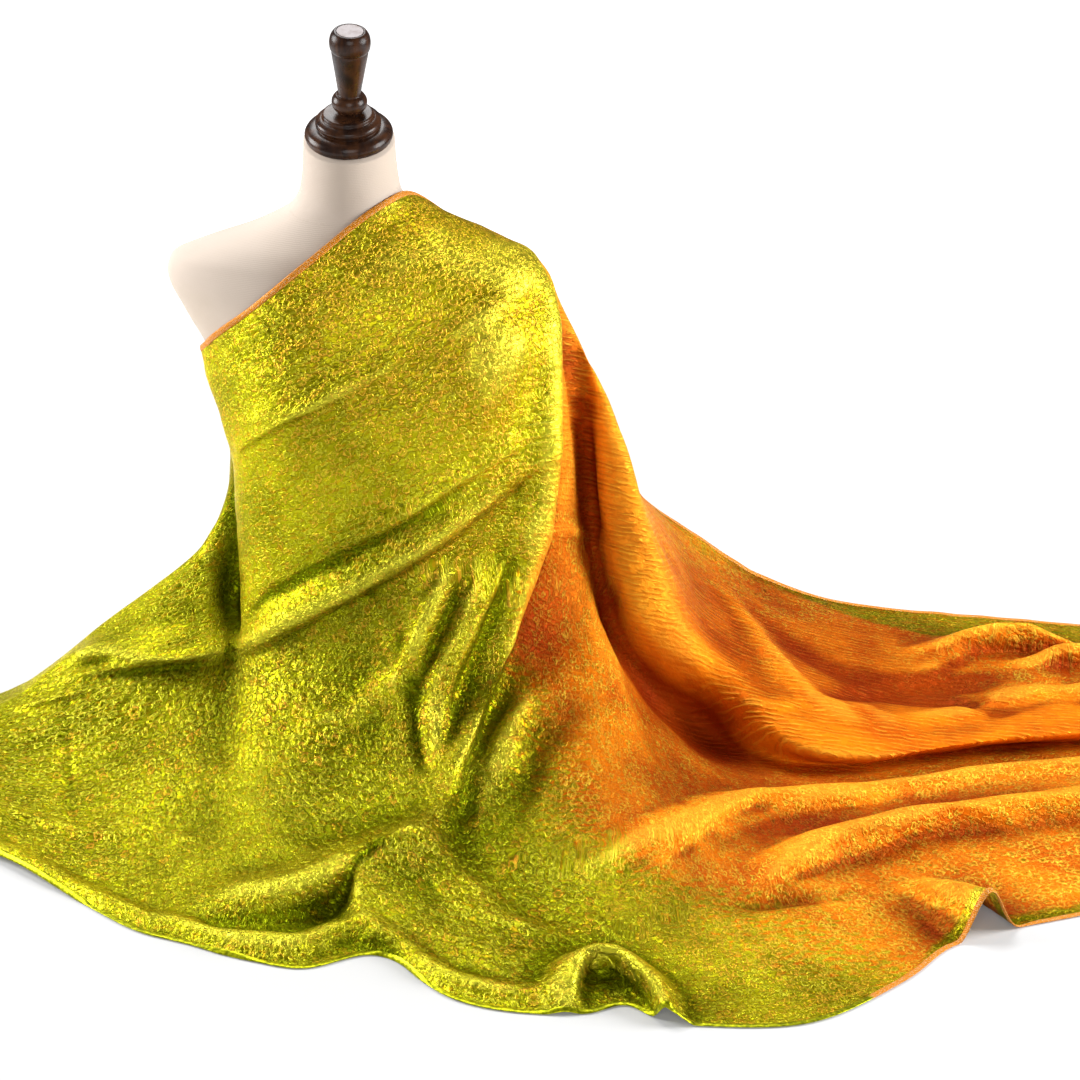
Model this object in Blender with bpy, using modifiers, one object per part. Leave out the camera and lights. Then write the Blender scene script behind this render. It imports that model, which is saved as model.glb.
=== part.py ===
"""A length of brocade draped over one shoulder of a dress form bust.

Metres, +Z up. The origin is on the surface that the bust and the cloth rest on, under the
middle of the neck. +X is to the right of someone who faces the bust and +Y goes away from them.
"""

import math
from collections import namedtuple

import bmesh
import bpy
import numpy as np
from mathutils import Vector
from mathutils.bvhtree import BVHTree

# Driving dimensions
BUST_SHOULDER_HEIGHT = 0.523
BUST_TURN = math.radians(-3.5)
NECK_TOP_HEIGHT = 0.650
NECK_RADIUS = 0.0465
NECK_BASE_HEIGHT = 0.592
NECK_TILT = math.radians(17)
KNOB_LEAN = math.radians(3)
CLOTH_THICKNESS = 0.002
CLOTH_CLEARANCE = 0.0010
EDGE_CLEARANCE = 0.0024
ARM_EDGE_START = 0.140
ARM_EDGE_BLEND = 0.030
NEAR_BUST = 0.030
FLOOR_SNAP = 0.0015
MM = 0.001
TINY = 1e-9

# The bust, as level sections from the base to the top of the neck
BustSection = namedtuple("BustSection", "height half_width front back")
BUST_SECTIONS = (
    BustSection(0.000, 0.134, 0.104, 0.098),
    BustSection(0.090, 0.139, 0.110, 0.104),
    BustSection(0.180, 0.125, 0.100, 0.088),
    BustSection(0.240, 0.119, 0.097, 0.083),
    BustSection(0.320, 0.125, 0.110, 0.090),
    BustSection(0.400, 0.139, 0.126, 0.097),
    BustSection(0.440, 0.157, 0.119, 0.100),
    BustSection(0.480, 0.182, 0.107, 0.099),
    BustSection(0.509, 0.197, 0.095, 0.092),
    BustSection(BUST_SHOULDER_HEIGHT, 0.192, 0.088, 0.087),
    BustSection(0.530, 0.185, 0.085, 0.085),
    BustSection(0.537, 0.168, 0.082, 0.082),
    BustSection(0.543, 0.152, 0.079, 0.079),
    BustSection(0.556, 0.113, 0.070, 0.071),
    BustSection(0.568, 0.086, 0.062, 0.063),
    BustSection(0.580, 0.065, 0.055, 0.056),
    BustSection(0.596, 0.053, 0.051, 0.051),
    BustSection(0.612, 0.0495, 0.049, 0.049),
    BustSection(NECK_TOP_HEIGHT, NECK_RADIUS, NECK_RADIUS, NECK_RADIUS),
)
# The flat plate that closes each arm hole leans in from the shoulder tip to the underarm
ArmPlate = namedtuple("ArmPlate", "tip_x tip_z underarm_x underarm_z")
ARM_PLATE = ArmPlate(0.191, 0.514, 0.152, 0.435)
# The level rings of the bust's mesh, closest together over the shoulders
RingSpan = namedtuple("RingSpan", "bottom top rings")
RING_SPANS = (
    RingSpan(0.000, 0.430, 12),
    RingSpan(0.430, 0.510, 6),
    RingSpan(0.510, 0.600, 18),
    RingSpan(0.600, NECK_TOP_HEIGHT, 5),
)
BUST_SIDES = 40

# The turned neck cap and its knob, radius and height above the top of the neck
CAP_PROFILE = (
    (0.0000, 0.0310),
    (0.0245, 0.0310),
    (0.0262, 0.0295),
    (0.0262, 0.0270),
    (0.0285, 0.0256),
    (0.0325, 0.0225),
    (0.0332, 0.0194),
    (0.0322, 0.0170),
    (0.0345, 0.0155),
    (0.0400, 0.0136),
    (0.0440, 0.0098),
    (0.0450, 0.0058),
    (0.0438, 0.0020),
    (0.0415, 0.0003),
    (0.0000, 0.0003),
)
KNOB_PROFILE = (
    (0.0000, 0.1230),
    (0.0146, 0.1230),
    (0.0160, 0.1213),
    (0.0196, 0.1172),
    (0.0207, 0.1115),
    (0.0200, 0.1045),
    (0.0186, 0.1022),
    (0.0184, 0.0990),
    (0.0150, 0.0770),
    (0.0118, 0.0555),
    (0.0116, 0.0525),
    (0.0152, 0.0505),
    (0.0178, 0.0450),
    (0.0176, 0.0395),
    (0.0150, 0.0350),
    (0.0110, 0.0325),
    (0.0000, 0.0319),
)
TURNED_SIDES = 28
MERGED = 0.0001

# The cloth in sections across its width, from the upper selvedge, over the body or the floor
# folds, to the lower selvedge. Each column is a place (x, y, z) in millimetres.
ClothSection = namedtuple("ClothSection", "along edge shoulder upper crest foot apron low hem")
CLOTH_SECTIONS = (
    ClothSection(0.00, (-545, 40, 0), (-548, 22, 12), (-550, 0, 25), (-552, -50, 45),
                 (-548, -100, 35), (-540, -150, 20), (-525, -200, 8), (-505, -245, 0)),
    ClothSection(0.10, (-400, 25, 0), (-399, 5, 22), (-397, -20, 38), (-392, -68, 52),
                 (-385, -122, 53), (-372, -190, 32), (-356, -260, 12), (-343, -329, 0)),
    ClothSection(0.19, (-258, 60, 20), (-259, 42, 62), (-260, 17, 103), (-258, -26, 136),
                 (-250, -105, 104), (-247, -185, 46), (-250, -310, 18), (-255, -412, 0)),
    ClothSection(0.26, (-150, 95, 140), (-157, 72, 162), (-166, 45, 184), (-172, -5, 195),
                 (-150, -55, 132), (-178, -145, 72), (-190, -290, 25), (-190, -470, 0)),
    ClothSection(0.32, (-150, 25, 408), (-143, 20, 370), (-133, 14, 330), (-129, 12, 250),
                 (-127, -35, 150), (-135, -125, 80), (-140, -300, 30), (-135, -497, 0)),
    ClothSection(0.37, (-159, -30, 438), (-145, -52, 396), (-132, -62, 352), (-122, -72, 260),
                 (-118, -95, 155), (-105, -170, 88), (-95, -320, 38), (-75, -525, 0)),
    ClothSection(0.42, (-100, -88, 497), (-92, -106, 448), (-85, -119, 400), (-75, -124, 290),
                 (-70, -135, 175), (-60, -200, 90), (-45, -340, 40), (-20, -540, 0)),
    ClothSection(0.47, (-30, -82, 553), (-20, -113, 485), (-10, -132, 415), (5, -142, 300),
                 (10, -155, 190), (15, -215, 92), (20, -350, 38), (45, -512, 0)),
    ClothSection(0.52, (40, -24, 597), (68, -88, 530), (88, -112, 455), (98, -135, 335),
                 (92, -160, 215), (68, -228, 100), (68, -370, 38), (108, -590, 0)),
    ClothSection(0.55, (66, 14, 592), (108, -61, 549), (148, -97, 485), (155, -112, 365),
                 (145, -128, 245), (100, -208, 112), (95, -365, 36), (155, -612, 0)),
    ClothSection(0.58, (84, 44, 571), (145, 10, 547), (195, -22, 511), (202, -72, 392),
                 (190, -98, 280), (138, -168, 132), (130, -350, 34), (203, -619, 0)),
    ClothSection(0.63, (125, 88, 522), (170, 60, 521), (204, 24, 494), (234, -8, 388),
                 (241, -22, 252), (225, -125, 135), (235, -380, 28), (284, -627, 0)),
    ClothSection(0.69, (178, 112, 440), (203, 88, 455), (220, 50, 444), (262, -14, 366),
                 (258, -36, 190), (275, -150, 100), (315, -400, 22), (360, -640, 0)),
    ClothSection(0.75, (260, 130, 264), (270, 98, 277), (281, 56, 284), (313, -50, 232),
                 (289, -72, 112), (312, -168, 58), (385, -400, 18), (444, -630, 0)),
    ClothSection(0.81, (375, 150, 156), (370, 118, 152), (368, 70, 148), (384, -66, 95),
                 (362, -90, 26), (388, -200, 24), (455, -380, 15), (530, -560, 0)),
    ClothSection(0.88, (520, 195, 60), (515, 140, 62), (510, 70, 62), (505, -158, 40),
                 (498, -138, 8), (510, -245, 22), (565, -365, 12), (600, -484, 0)),
    ClothSection(0.94, (720, 210, 30), (718, 160, 28), (715, 100, 30), (715, -110, 38),
                 (712, -92, 8), (720, -200, 22), (732, -320, 12), (740, -430, 0)),
    ClothSection(1.00, (950, 200, 10), (954, 150, 15), (958, 90, 22), (962, -90, 38),
                 (962, -74, 8), (962, -175, 14), (956, -250, 6), (945, -340, 0)),
)
# Where each column lies across the width, from 0 at the upper selvedge to 1 at the lower one
ACROSS = (0.0, 0.07, 0.14, 0.28, 0.42, 0.57, 0.78, 1.0)
GRID_ALONG = 170
GRID_ACROSS = 96
GRID_KEPT = 0.165
BASE_SMOOTHING = 5
SMOOTHING_SHARE = 0.5

# Folds laid over those sections. The path is shares along and across the cloth with the fold's
# strength there. The crest stands up by height and leans to the right of its path by overlap, and
# a trough has a height below zero. Sizes are in millimetres.
Fold = namedtuple("Fold", "name half_width height overlap path")
FOLDS = (
    Fold("panel edge over the right hip", 27, 15, 11,
         ((0.548, 0.73, 0.3), (0.560, 0.66, 0.8), (0.570, 0.60, 1.0), (0.583, 0.50, 1.0),
          (0.580, 0.38, 0.9), (0.579, 0.27, 0.8), (0.578, 0.19, 0.6), (0.585, 0.13, 0.0))),
    Fold("tension crease below the arm", 14, 5, 3,
         ((0.385, 0.165, 0.5), (0.447, 0.142, 1.0), (0.489, 0.130, 1.0), (0.550, 0.129, 0.7),
          (0.580, 0.141, 0.0))),
    Fold("doubled pleat across the waist", 26, 13, 13,
         ((0.338, 0.467, 0.2), (0.405, 0.425, 0.9), (0.452, 0.380, 1.0), (0.489, 0.350, 1.0),
          (0.530, 0.330, 0.7), (0.575, 0.330, 0.3))),
    Fold("hollow beside the left hip", 34, -12, 0,
         ((0.310, 0.33, 0.2), (0.298, 0.40, 1.0), (0.302, 0.46, 1.0), (0.335, 0.51, 0.2))),
    Fold("pinch across the left flank", 24, 8, 8,
         ((0.130, 0.33, 0.3), (0.168, 0.34, 1.0), (0.204, 0.385, 1.0), (0.245, 0.42, 0.7),
          (0.290, 0.46, 0.1))),
    Fold("fan fold left of the crease", 24, 9, 0,
         ((0.500, 0.50, 0.2), (0.475, 0.53, 1.0), (0.450, 0.56, 0.8), (0.415, 0.60, 0.1))),
    Fold("crease down the fan", 14, -7, 0,
         ((0.478, 0.39, 0.3), (0.497, 0.46, 1.0), (0.510, 0.52, 1.0), (0.528, 0.60, 0.9),
          (0.542, 0.67, 0.3))),
    Fold("fan fold right of the crease", 20, 10, 0,
         ((0.545, 0.40, 0.1), (0.540, 0.47, 1.0), (0.532, 0.53, 1.0), (0.540, 0.61, 0.7),
          (0.545, 0.70, 0.1))),
    Fold("lip over the front hollow", 42, 24, 14,
         ((0.310, 0.93, 0.1), (0.355, 0.90, 0.5), (0.409, 0.875, 0.9), (0.440, 0.850, 1.0),
          (0.475, 0.810, 1.0), (0.509, 0.772, 0.8), (0.545, 0.740, 0.2))),
    Fold("rounded edge right of the hollow", 45, 22, 16,
         ((0.560, 0.745, 0.2), (0.520, 0.80, 0.8), (0.488, 0.85, 1.0), (0.478, 0.90, 1.0),
          (0.480, 0.95, 0.4))),
    Fold("rolled hem at the front left", 22, 13, 0,
         ((0.300, 0.975, 0.2), (0.350, 0.975, 1.0), (0.406, 0.965, 1.0), (0.445, 0.950, 0.8),
          (0.505, 0.965, 0.9), (0.560, 0.975, 0.7), (0.595, 0.975, 0.1))),
    Fold("trough under the lip", 24, -14, 0,
         ((0.345, 0.955, 0.2), (0.395, 0.930, 1.0), (0.430, 0.908, 1.0), (0.452, 0.885, 0.5))),
    Fold("notch in the front hem", 44, 0, -28,
         ((0.604, 0.99, 0.2), (0.622, 0.99, 1.0), (0.640, 0.99, 0.2))),
    Fold("hood over the notch", 22, 30, 14,
         ((0.588, 0.990, 0.3), (0.598, 0.950, 1.0), (0.618, 0.925, 1.0), (0.638, 0.930, 1.0),
          (0.651, 0.965, 1.0), (0.656, 1.000, 0.6))),
    Fold("first fold below the roll", 34, 15, 4,
         ((0.618, 0.80, 0.1), (0.677, 0.742, 0.7), (0.754, 0.687, 0.9), (0.824, 0.61, 1.0),
          (0.870, 0.56, 1.0), (0.931, 0.53, 0.8), (1.000, 0.53, 0.6))),
    Fold("second fold below the roll", 34, 20, 6,
         ((0.770, 0.78, 0.1), (0.815, 0.742, 0.9), (0.864, 0.690, 1.0), (0.898, 0.655, 1.0),
          (0.946, 0.655, 1.0), (1.000, 0.66, 0.8))),
    Fold("short groove on the right apron", 16, -8, 0,
         ((0.735, 0.82, 0.2), (0.770, 0.817, 1.0), (0.815, 0.825, 0.1))),
    Fold("swept fold on the front apron", 18, 7, 0,
         ((0.545, 0.755, 0.3), (0.556, 0.817, 1.0), (0.576, 0.865, 0.8), (0.600, 0.885, 0.1))),
    Fold("fold beside the panel's foot", 26, 12, 0,
         ((0.580, 0.74, 0.1), (0.592, 0.68, 1.0), (0.603, 0.63, 0.8), (0.640, 0.59, 0.1))),
    Fold("groove beside the panel's foot", 18, -9, 0,
         ((0.598, 0.78, 0.1), (0.608, 0.71, 1.0), (0.618, 0.66, 0.6), (0.655, 0.61, 0.1))),
    Fold("arch in the lower selvedge", 34, 34, 0,
         ((0.885, 0.80, 0.0), (0.895, 0.90, 0.6), (0.903, 1.00, 1.0))),
    Fold("ridge along the roll", 26, 14, 0,
         ((0.890, 0.235, 0.0), (0.921, 0.235, 0.7), (0.945, 0.215, 1.0), (1.000, 0.215, 0.8))),
    Fold("soft ridge down the slope", 24, 8, 0,
         ((0.830, 0.13, 0.1), (0.855, 0.19, 1.0), (0.880, 0.23, 1.0), (0.905, 0.26, 0.1))),
    Fold("hollow in the slope", 28, -12, 0,
         ((0.850, 0.14, 0.1), (0.890, 0.18, 0.8), (0.925, 0.19, 1.0), (0.945, 0.18, 0.1))),
    Fold("turned fold behind the roll", 26, 19, 12,
         ((0.912, 0.150, 0.1), (0.930, 0.110, 1.0), (0.948, 0.090, 1.0), (0.965, 0.110, 0.2))),
    Fold("second turned fold behind the roll", 24, 19, 10,
         ((0.940, 0.180, 0.1), (0.955, 0.150, 1.0), (0.975, 0.145, 1.0), (1.000, 0.150, 0.9))),
)

# The finishes: colour, roughness and how metallic they are
Finish = namedtuple("Finish", "name colour roughness metallic")
LINEN = Finish("linen_jersey", (0.80, 0.71, 0.62), 0.75, 0.0)
WALNUT = Finish("lacquered_walnut", (0.055, 0.026, 0.013), 0.28, 0.0)
BROCADE = Finish("brocade", (0.55, 0.50, 0.05), 0.35, 0.6)


def hermite(knots, values, at):
    """Smooth interpolation through values at the knots, with slopes from their neighbours."""
    knots = np.asarray(knots, float)
    values = np.asarray(values, float)
    at = np.asarray(at, float)
    steps = np.diff(knots)
    shape = (-1,) + (1,) * (values.ndim - 1)
    slopes = np.diff(values, axis=0) / steps.reshape(shape)
    tangents = np.empty_like(values)
    tangents[0], tangents[-1] = slopes[0], slopes[-1]
    before, after = steps[:-1].reshape(shape), steps[1:].reshape(shape)
    tangents[1:-1] = (slopes[:-1] * after + slopes[1:] * before) / (before + after)
    i = np.clip(np.searchsorted(knots, at, side="right") - 1, 0, len(steps) - 1)
    width = steps[i].reshape(shape)
    t = ((at - knots[i]) / steps[i]).reshape(shape)
    t2, t3 = t * t, t * t * t
    return (
        (2 * t3 - 3 * t2 + 1) * values[i]
        + (t3 - 2 * t2 + t) * width * tangents[i]
        + (3 * t2 - 2 * t3) * values[i + 1]
        + (t3 - t2) * width * tangents[i + 1]
    )


def grid_faces(rows, columns):
    """Quads between the points of a grid whose points run along each row in turn."""
    return [
        (r * columns + c, r * columns + c + 1, (r + 1) * columns + c + 1, (r + 1) * columns + c)
        for r in range(rows - 1)
        for c in range(columns - 1)
    ]


def new_object(name, vertices, faces, collection):
    mesh = bpy.data.meshes.new(name)
    mesh.from_pydata([tuple(v) for v in vertices], [], faces)
    mesh.validate()
    obj = bpy.data.objects.new(name, mesh)
    collection.objects.link(obj)
    return obj


def face_outwards(mesh):
    shape = bmesh.new()
    shape.from_mesh(mesh)
    bmesh.ops.recalc_face_normals(shape, faces=shape.faces)
    shape.to_mesh(mesh)
    shape.free()


def material(finish):
    made = bpy.data.materials.new(finish.name)
    made.use_nodes = True
    shader = made.node_tree.nodes["Principled BSDF"]
    shader.inputs["Base Color"].default_value = (*finish.colour, 1.0)
    shader.inputs["Roughness"].default_value = finish.roughness
    shader.inputs["Metallic"].default_value = finish.metallic
    return made


def bust_ring(height):
    """The points of the bust's level section at this height."""
    table = np.array(BUST_SECTIONS)
    half_width, front, back = hermite(table[:, 0], table[:, 1:], [height])[0]
    plate = ARM_PLATE
    lean = (plate.tip_x - plate.underarm_x) / (plate.tip_z - plate.underarm_z)
    widest = min(plate.tip_x, plate.underarm_x + lean * (height - plate.underarm_z))
    points = []
    for i in range(BUST_SIDES):
        turn = math.tau * i / BUST_SIDES
        x = half_width * math.cos(turn)
        y = (back if math.sin(turn) > 0 else front) * math.sin(turn)
        if height > plate.underarm_z:
            x = max(-widest, min(widest, x))
        turned_x = x * math.cos(BUST_TURN) - y * math.sin(BUST_TURN)
        turned_y = x * math.sin(BUST_TURN) + y * math.cos(BUST_TURN)
        points.append((turned_x, turned_y, height))
    return points


def bust_heights():
    """Heights of the bust's rings from its base to the top of its neck."""
    heights = [0.0]
    for span in RING_SPANS:
        heights += list(np.linspace(span.bottom, span.top, span.rings + 1)[1:])
    return heights


def tilt_neck(point):
    """Slants the neck so that its top faces a little forwards."""
    x, y, z = point
    share = max(0.0, (z - NECK_BASE_HEIGHT) / (NECK_TOP_HEIGHT - NECK_BASE_HEIGHT))
    return x, y, z + share * y * math.tan(NECK_TILT)


def build_bust(collection):
    rings = [bust_ring(height) for height in bust_heights()]
    vertices = [tilt_neck(point) for ring in rings for point in ring]
    faces = []
    for r in range(len(rings) - 1):
        for i in range(BUST_SIDES):
            j = (i + 1) % BUST_SIDES
            low, high = r * BUST_SIDES, (r + 1) * BUST_SIDES
            faces.append((low + i, low + j, high + j, high + i))
    faces.append(tuple(reversed(range(BUST_SIDES))))
    faces.append(tuple(range(len(vertices) - BUST_SIDES, len(vertices))))
    bust = new_object("bust_form", vertices, faces, collection)
    face_outwards(bust.data)
    bust.data.shade_smooth()
    bust.data.materials.append(material(LINEN))
    return bust


def turned(name, profile, lean, collection):
    """A turned piece standing on the neck: its profile goes down its outer side."""
    mesh = bpy.data.meshes.new(name)
    points = [(radius, 0.0, height) for radius, height in profile]
    mesh.from_pydata(points, [(i, i + 1) for i in range(len(points) - 1)], [])
    obj = bpy.data.objects.new(name, mesh)
    obj.location = (0.0, 0.0, NECK_TOP_HEIGHT)
    obj.rotation_euler = (NECK_TILT, lean, 0.0)
    collection.objects.link(obj)
    screw = obj.modifiers.new("turned", "SCREW")
    screw.steps = screw.render_steps = TURNED_SIDES
    screw.use_merge_vertices = True
    screw.merge_threshold = MERGED
    mesh.materials.append(material(WALNUT))
    return obj


def cloth_base():
    """The cloth's upper side as a grid of places, before its folds, in metres."""
    table = np.array([section[1:] for section in CLOTH_SECTIONS], float) * MM
    along = [section.along for section in CLOTH_SECTIONS]
    down = hermite(ACROSS, table.transpose(1, 0, 2), np.linspace(0, 1, GRID_ACROSS))
    return hermite(along, down.transpose(1, 0, 2), np.linspace(0, 1, GRID_ALONG))


def surface_normals(points):
    """Unit normals of a grid of places, pointing out of the drape."""
    du = np.gradient(points, axis=0)
    dv = np.gradient(points, axis=1)
    normal = np.cross(dv, du)
    return normal / np.maximum(np.linalg.norm(normal, axis=2, keepdims=True), TINY)


def on_cloth(points, along, across):
    """The place on the grid at these shares along and across the cloth."""
    row = along * (points.shape[0] - 1)
    column = across * (points.shape[1] - 1)
    r, c = int(min(row, points.shape[0] - 2)), int(min(column, points.shape[1] - 2))
    a, b = row - r, column - c
    near = points[r, c] * (1 - b) + points[r, c + 1] * b
    far = points[r + 1, c] * (1 - b) + points[r + 1, c + 1] * b
    return near * (1 - a) + far * a


def fold_path(points, path, pieces=24):
    """A fold's path as places on the cloth, each with the fold's strength there."""
    path = np.asarray(path, float)
    smooth = hermite(np.linspace(0, 1, len(path)), path, np.linspace(0, 1, pieces + 1))
    places = [on_cloth(points, min(max(a, 0), 1), min(max(b, 0), 1)) for a, b, _ in smooth]
    return np.array(places), np.clip(smooth[:, 2], 0, 1)


def lay_fold(points, normal, fold):
    """Raises one fold along its path, leaning over what lies to the right of the path."""
    places, strengths = fold_path(points, fold.path)
    best = np.full(points.shape[:2], np.inf)
    across = np.zeros(points.shape[:2])
    strength = np.zeros(points.shape[:2])
    to_right = np.zeros_like(points)
    half_width = fold.half_width * MM
    for i in range(len(places) - 1):
        start, step = places[i], places[i + 1] - places[i]
        share = np.clip((points - start) @ step / (step @ step), 0, 1)
        offset = points - start - share[..., None] * step
        distance = np.linalg.norm(offset, axis=2)
        closer = distance < best
        side = np.cross(step, normal[closer])
        side /= np.maximum(np.linalg.norm(side, axis=1, keepdims=True), TINY)
        to_right[closer] = side
        across[closer] = distance[closer] / half_width
        strength[closer] = (strengths[i] + share * (strengths[i + 1] - strengths[i]))[closer]
        best[closer] = distance[closer]
    bump = (0.5 + 0.5 * np.cos(np.pi * np.clip(across, 0, 1))) * strength
    lift = normal * (bump * fold.height * MM)[..., None]
    return points + lift + to_right * (bump * fold.overlap * MM)[..., None]


def smooth_step(share):
    """A soft step from 0 to 1 as the share goes from 0 to 1."""
    share = min(max(share, 0.0), 1.0)
    return share * share * (3 - 2 * share)


def smoothed(points, amount):
    """The grid with each place moved part of the way to the middle of its neighbours."""
    around = points[:-2, 1:-1] + points[2:, 1:-1] + points[1:-1, :-2] + points[1:-1, 2:]
    beside = (points[:-2] + points[2:]) / 2
    result = points.copy()
    result[1:-1, 1:-1] += amount * (around / 4 - points[1:-1, 1:-1])
    for selvedge in (0, -1):
        result[1:-1, selvedge] += amount * (beside[:, selvedge] - points[1:-1, selvedge])
    return result


def shortfall(at, bust_tree):
    """How far this place on the cloth has to go out to lie clear of the bust, and which way."""
    place, normal, _, _ = bust_tree.find_nearest(at, NEAR_BUST)
    if place is None:
        return 0.0, Vector()
    edge_share = smooth_step((abs(place.x) - ARM_EDGE_START) / ARM_EDGE_BLEND)
    wanted = CLOTH_THICKNESS + CLOTH_CLEARANCE
    wanted += edge_share * (EDGE_CLEARANCE - CLOTH_CLEARANCE)
    return max(0.0, wanted - (at - place).dot(normal)), normal


def lifted(points, bust_tree):
    """The grid with each place moved out until it lies clear of the bust."""
    result = points.reshape(-1, 3).copy()
    for i, at in enumerate(result):
        short, normal = shortfall(Vector(at), bust_tree)
        result[i] = at + short * np.array(normal)
    return result.reshape(points.shape)


def folded_cloth(bust_tree):
    """The cloth's upper side as a grid of places with its folds, no lower than it can lie."""
    points = cloth_base()
    for _ in range(BASE_SMOOTHING):
        points = smoothed(lifted(points, bust_tree), SMOOTHING_SHARE)
    normal = surface_normals(points)
    for fold in FOLDS:
        points = lay_fold(points, normal, fold)
    points = smoothed(points, SMOOTHING_SHARE)
    lies = points[..., 2] < CLOTH_THICKNESS + FLOOR_SNAP
    points[..., 2] = np.where(lies, CLOTH_THICKNESS, points[..., 2])
    return points


def clear_of_bust(mesh, bust_tree, rounds=14, samples=4):
    """Moves the cloth's triangles out wherever a place on them comes too close to the bust."""
    shares = [
        (i / samples, j / samples, (samples - i - j) / samples)
        for i in range(samples + 1)
        for j in range(samples + 1 - i)
    ]
    for _ in range(rounds):
        for triangle in mesh.polygons:
            corners = [mesh.vertices[i].co for i in triangle.vertices]
            for weights in shares:
                at = sum((corner * weight for corner, weight in zip(corners, weights)), Vector())
                short, normal = shortfall(at, bust_tree)
                if short > 0:
                    push = short / sum(weight * weight for weight in weights)
                    for corner, weight in zip(corners, weights):
                        corner += normal * push * weight


def apply_modifiers(obj):
    """Replaces the object's mesh by what its modifiers make of it."""
    bpy.context.view_layer.update()
    graph = bpy.context.evaluated_depsgraph_get()
    obj.data = bpy.data.meshes.new_from_object(obj.evaluated_get(graph))
    obj.modifiers.clear()


def build_cloth(collection, bust):
    tree = BVHTree.FromPolygons(
        [v.co for v in bust.data.vertices], [tuple(p.vertices) for p in bust.data.polygons]
    )
    points = folded_cloth(tree)
    faces = grid_faces(*points.shape[:2])
    cloth = new_object("brocade_cloth", points.reshape(-1, 3), faces, collection)
    fewer = cloth.modifiers.new("fewer faces", "DECIMATE")
    fewer.ratio = GRID_KEPT
    fewer.use_collapse_triangulate = True
    apply_modifiers(cloth)
    clear_of_bust(cloth.data, tree)
    thicken = cloth.modifiers.new("thickness", "SOLIDIFY")
    thicken.thickness = CLOTH_THICKNESS
    thicken.offset = -1.0
    apply_modifiers(cloth)
    for vertex in cloth.data.vertices:
        vertex.co.z = max(vertex.co.z, 0.0)
    cloth.data.materials.clear()
    cloth.data.materials.append(material(BROCADE))
    return cloth


def main():
    for obj in list(bpy.data.objects):
        bpy.data.objects.remove(obj, do_unlink=True)
    collection = bpy.data.collections.new("draped_brocade")
    bpy.context.scene.collection.children.link(collection)
    bust = build_bust(collection)
    turned("neck_cap", CAP_PROFILE, 0.0, collection)
    turned("cap_knob", KNOB_PROFILE, KNOB_LEAN, collection)
    build_cloth(collection, bust)


main()
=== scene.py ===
"""Brocade draped over one shoulder of a dress form, with its stage.

Metres, +Z up. The origin is on the surface under the middle of the form's neck, +X is to the right
of someone who faces the form and +Y goes away from them.
"""

import math
from collections import namedtuple

import bmesh
import bpy
import numpy as np
from bpy.props import FloatProperty, FloatVectorProperty, PointerProperty
from mathutils import Color, Euler, Matrix, Vector
from mathutils.bvhtree import BVHTree


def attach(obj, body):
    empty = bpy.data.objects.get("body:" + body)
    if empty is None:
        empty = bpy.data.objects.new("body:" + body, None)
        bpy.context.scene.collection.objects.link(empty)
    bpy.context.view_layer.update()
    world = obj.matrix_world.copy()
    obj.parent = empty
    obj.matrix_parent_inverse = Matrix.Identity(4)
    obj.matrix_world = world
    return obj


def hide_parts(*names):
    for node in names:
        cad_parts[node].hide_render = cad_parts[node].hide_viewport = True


bl_info = {
    "name": "Draped brocade on a dress form",
    "version": (1, 0, 0),
    "blender": (4, 5, 0),
    "location": "View3D > Sidebar > Brocade",
    "description": "Builds a length of shot brocade draped on a dress form, and its stage",
    "category": "Add Mesh",
}

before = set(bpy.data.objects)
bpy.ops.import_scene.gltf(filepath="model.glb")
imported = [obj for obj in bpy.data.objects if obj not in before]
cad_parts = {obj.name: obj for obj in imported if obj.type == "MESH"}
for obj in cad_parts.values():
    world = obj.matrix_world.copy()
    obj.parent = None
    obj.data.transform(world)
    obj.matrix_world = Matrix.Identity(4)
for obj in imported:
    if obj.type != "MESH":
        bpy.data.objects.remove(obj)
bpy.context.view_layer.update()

MM = 0.001
TINY = 1e-9

# The dress form, in metres
NECK_TOP_HEIGHT = 0.650
NECK_BASE_HEIGHT = 0.592
NECK_TILT = math.radians(17)
KNOB_LEAN = math.radians(3)
FORM_TURN = math.radians(-3.5)
# Its level sections, as a height, half the width and the depths of the front and the back
FORM_SECTIONS = (
    (0.000, 0.134, 0.104, 0.098), (0.090, 0.139, 0.110, 0.104), (0.180, 0.125, 0.100, 0.088),
    (0.240, 0.119, 0.097, 0.083), (0.320, 0.125, 0.110, 0.090), (0.400, 0.139, 0.126, 0.097),
    (0.440, 0.157, 0.119, 0.100), (0.480, 0.182, 0.107, 0.099), (0.509, 0.197, 0.095, 0.092),
    (0.523, 0.192, 0.088, 0.087), (0.530, 0.185, 0.085, 0.085), (0.537, 0.168, 0.082, 0.082),
    (0.543, 0.152, 0.079, 0.079), (0.556, 0.113, 0.070, 0.071), (0.568, 0.086, 0.062, 0.063),
    (0.580, 0.065, 0.055, 0.056), (0.596, 0.053, 0.051, 0.051), (0.612, 0.0495, 0.049, 0.049),
    (NECK_TOP_HEIGHT, 0.0465, 0.0465, 0.0465),
)
ArmPlate = namedtuple("ArmPlate", "tip_x tip_z underarm_x underarm_z rounding")
ARM_PLATE = ArmPlate(0.191, 0.514, 0.152, 0.435, 0.007)
FORM_RINGS = 220
FORM_SIDES = 168

# Seams of the jersey cover, as heights over the turn from the right side round the back
SEAM_RADIUS = 0.45 * MM
SEAM_SINK = 0.30 * MM
SEAM_SIDES = 6
SEAM_STEPS = 150
SEAM_START = 0.004
NECK_SEAM_HEIGHT = 0.5830
NECK_SEAM_DIP = 0.0085

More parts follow.
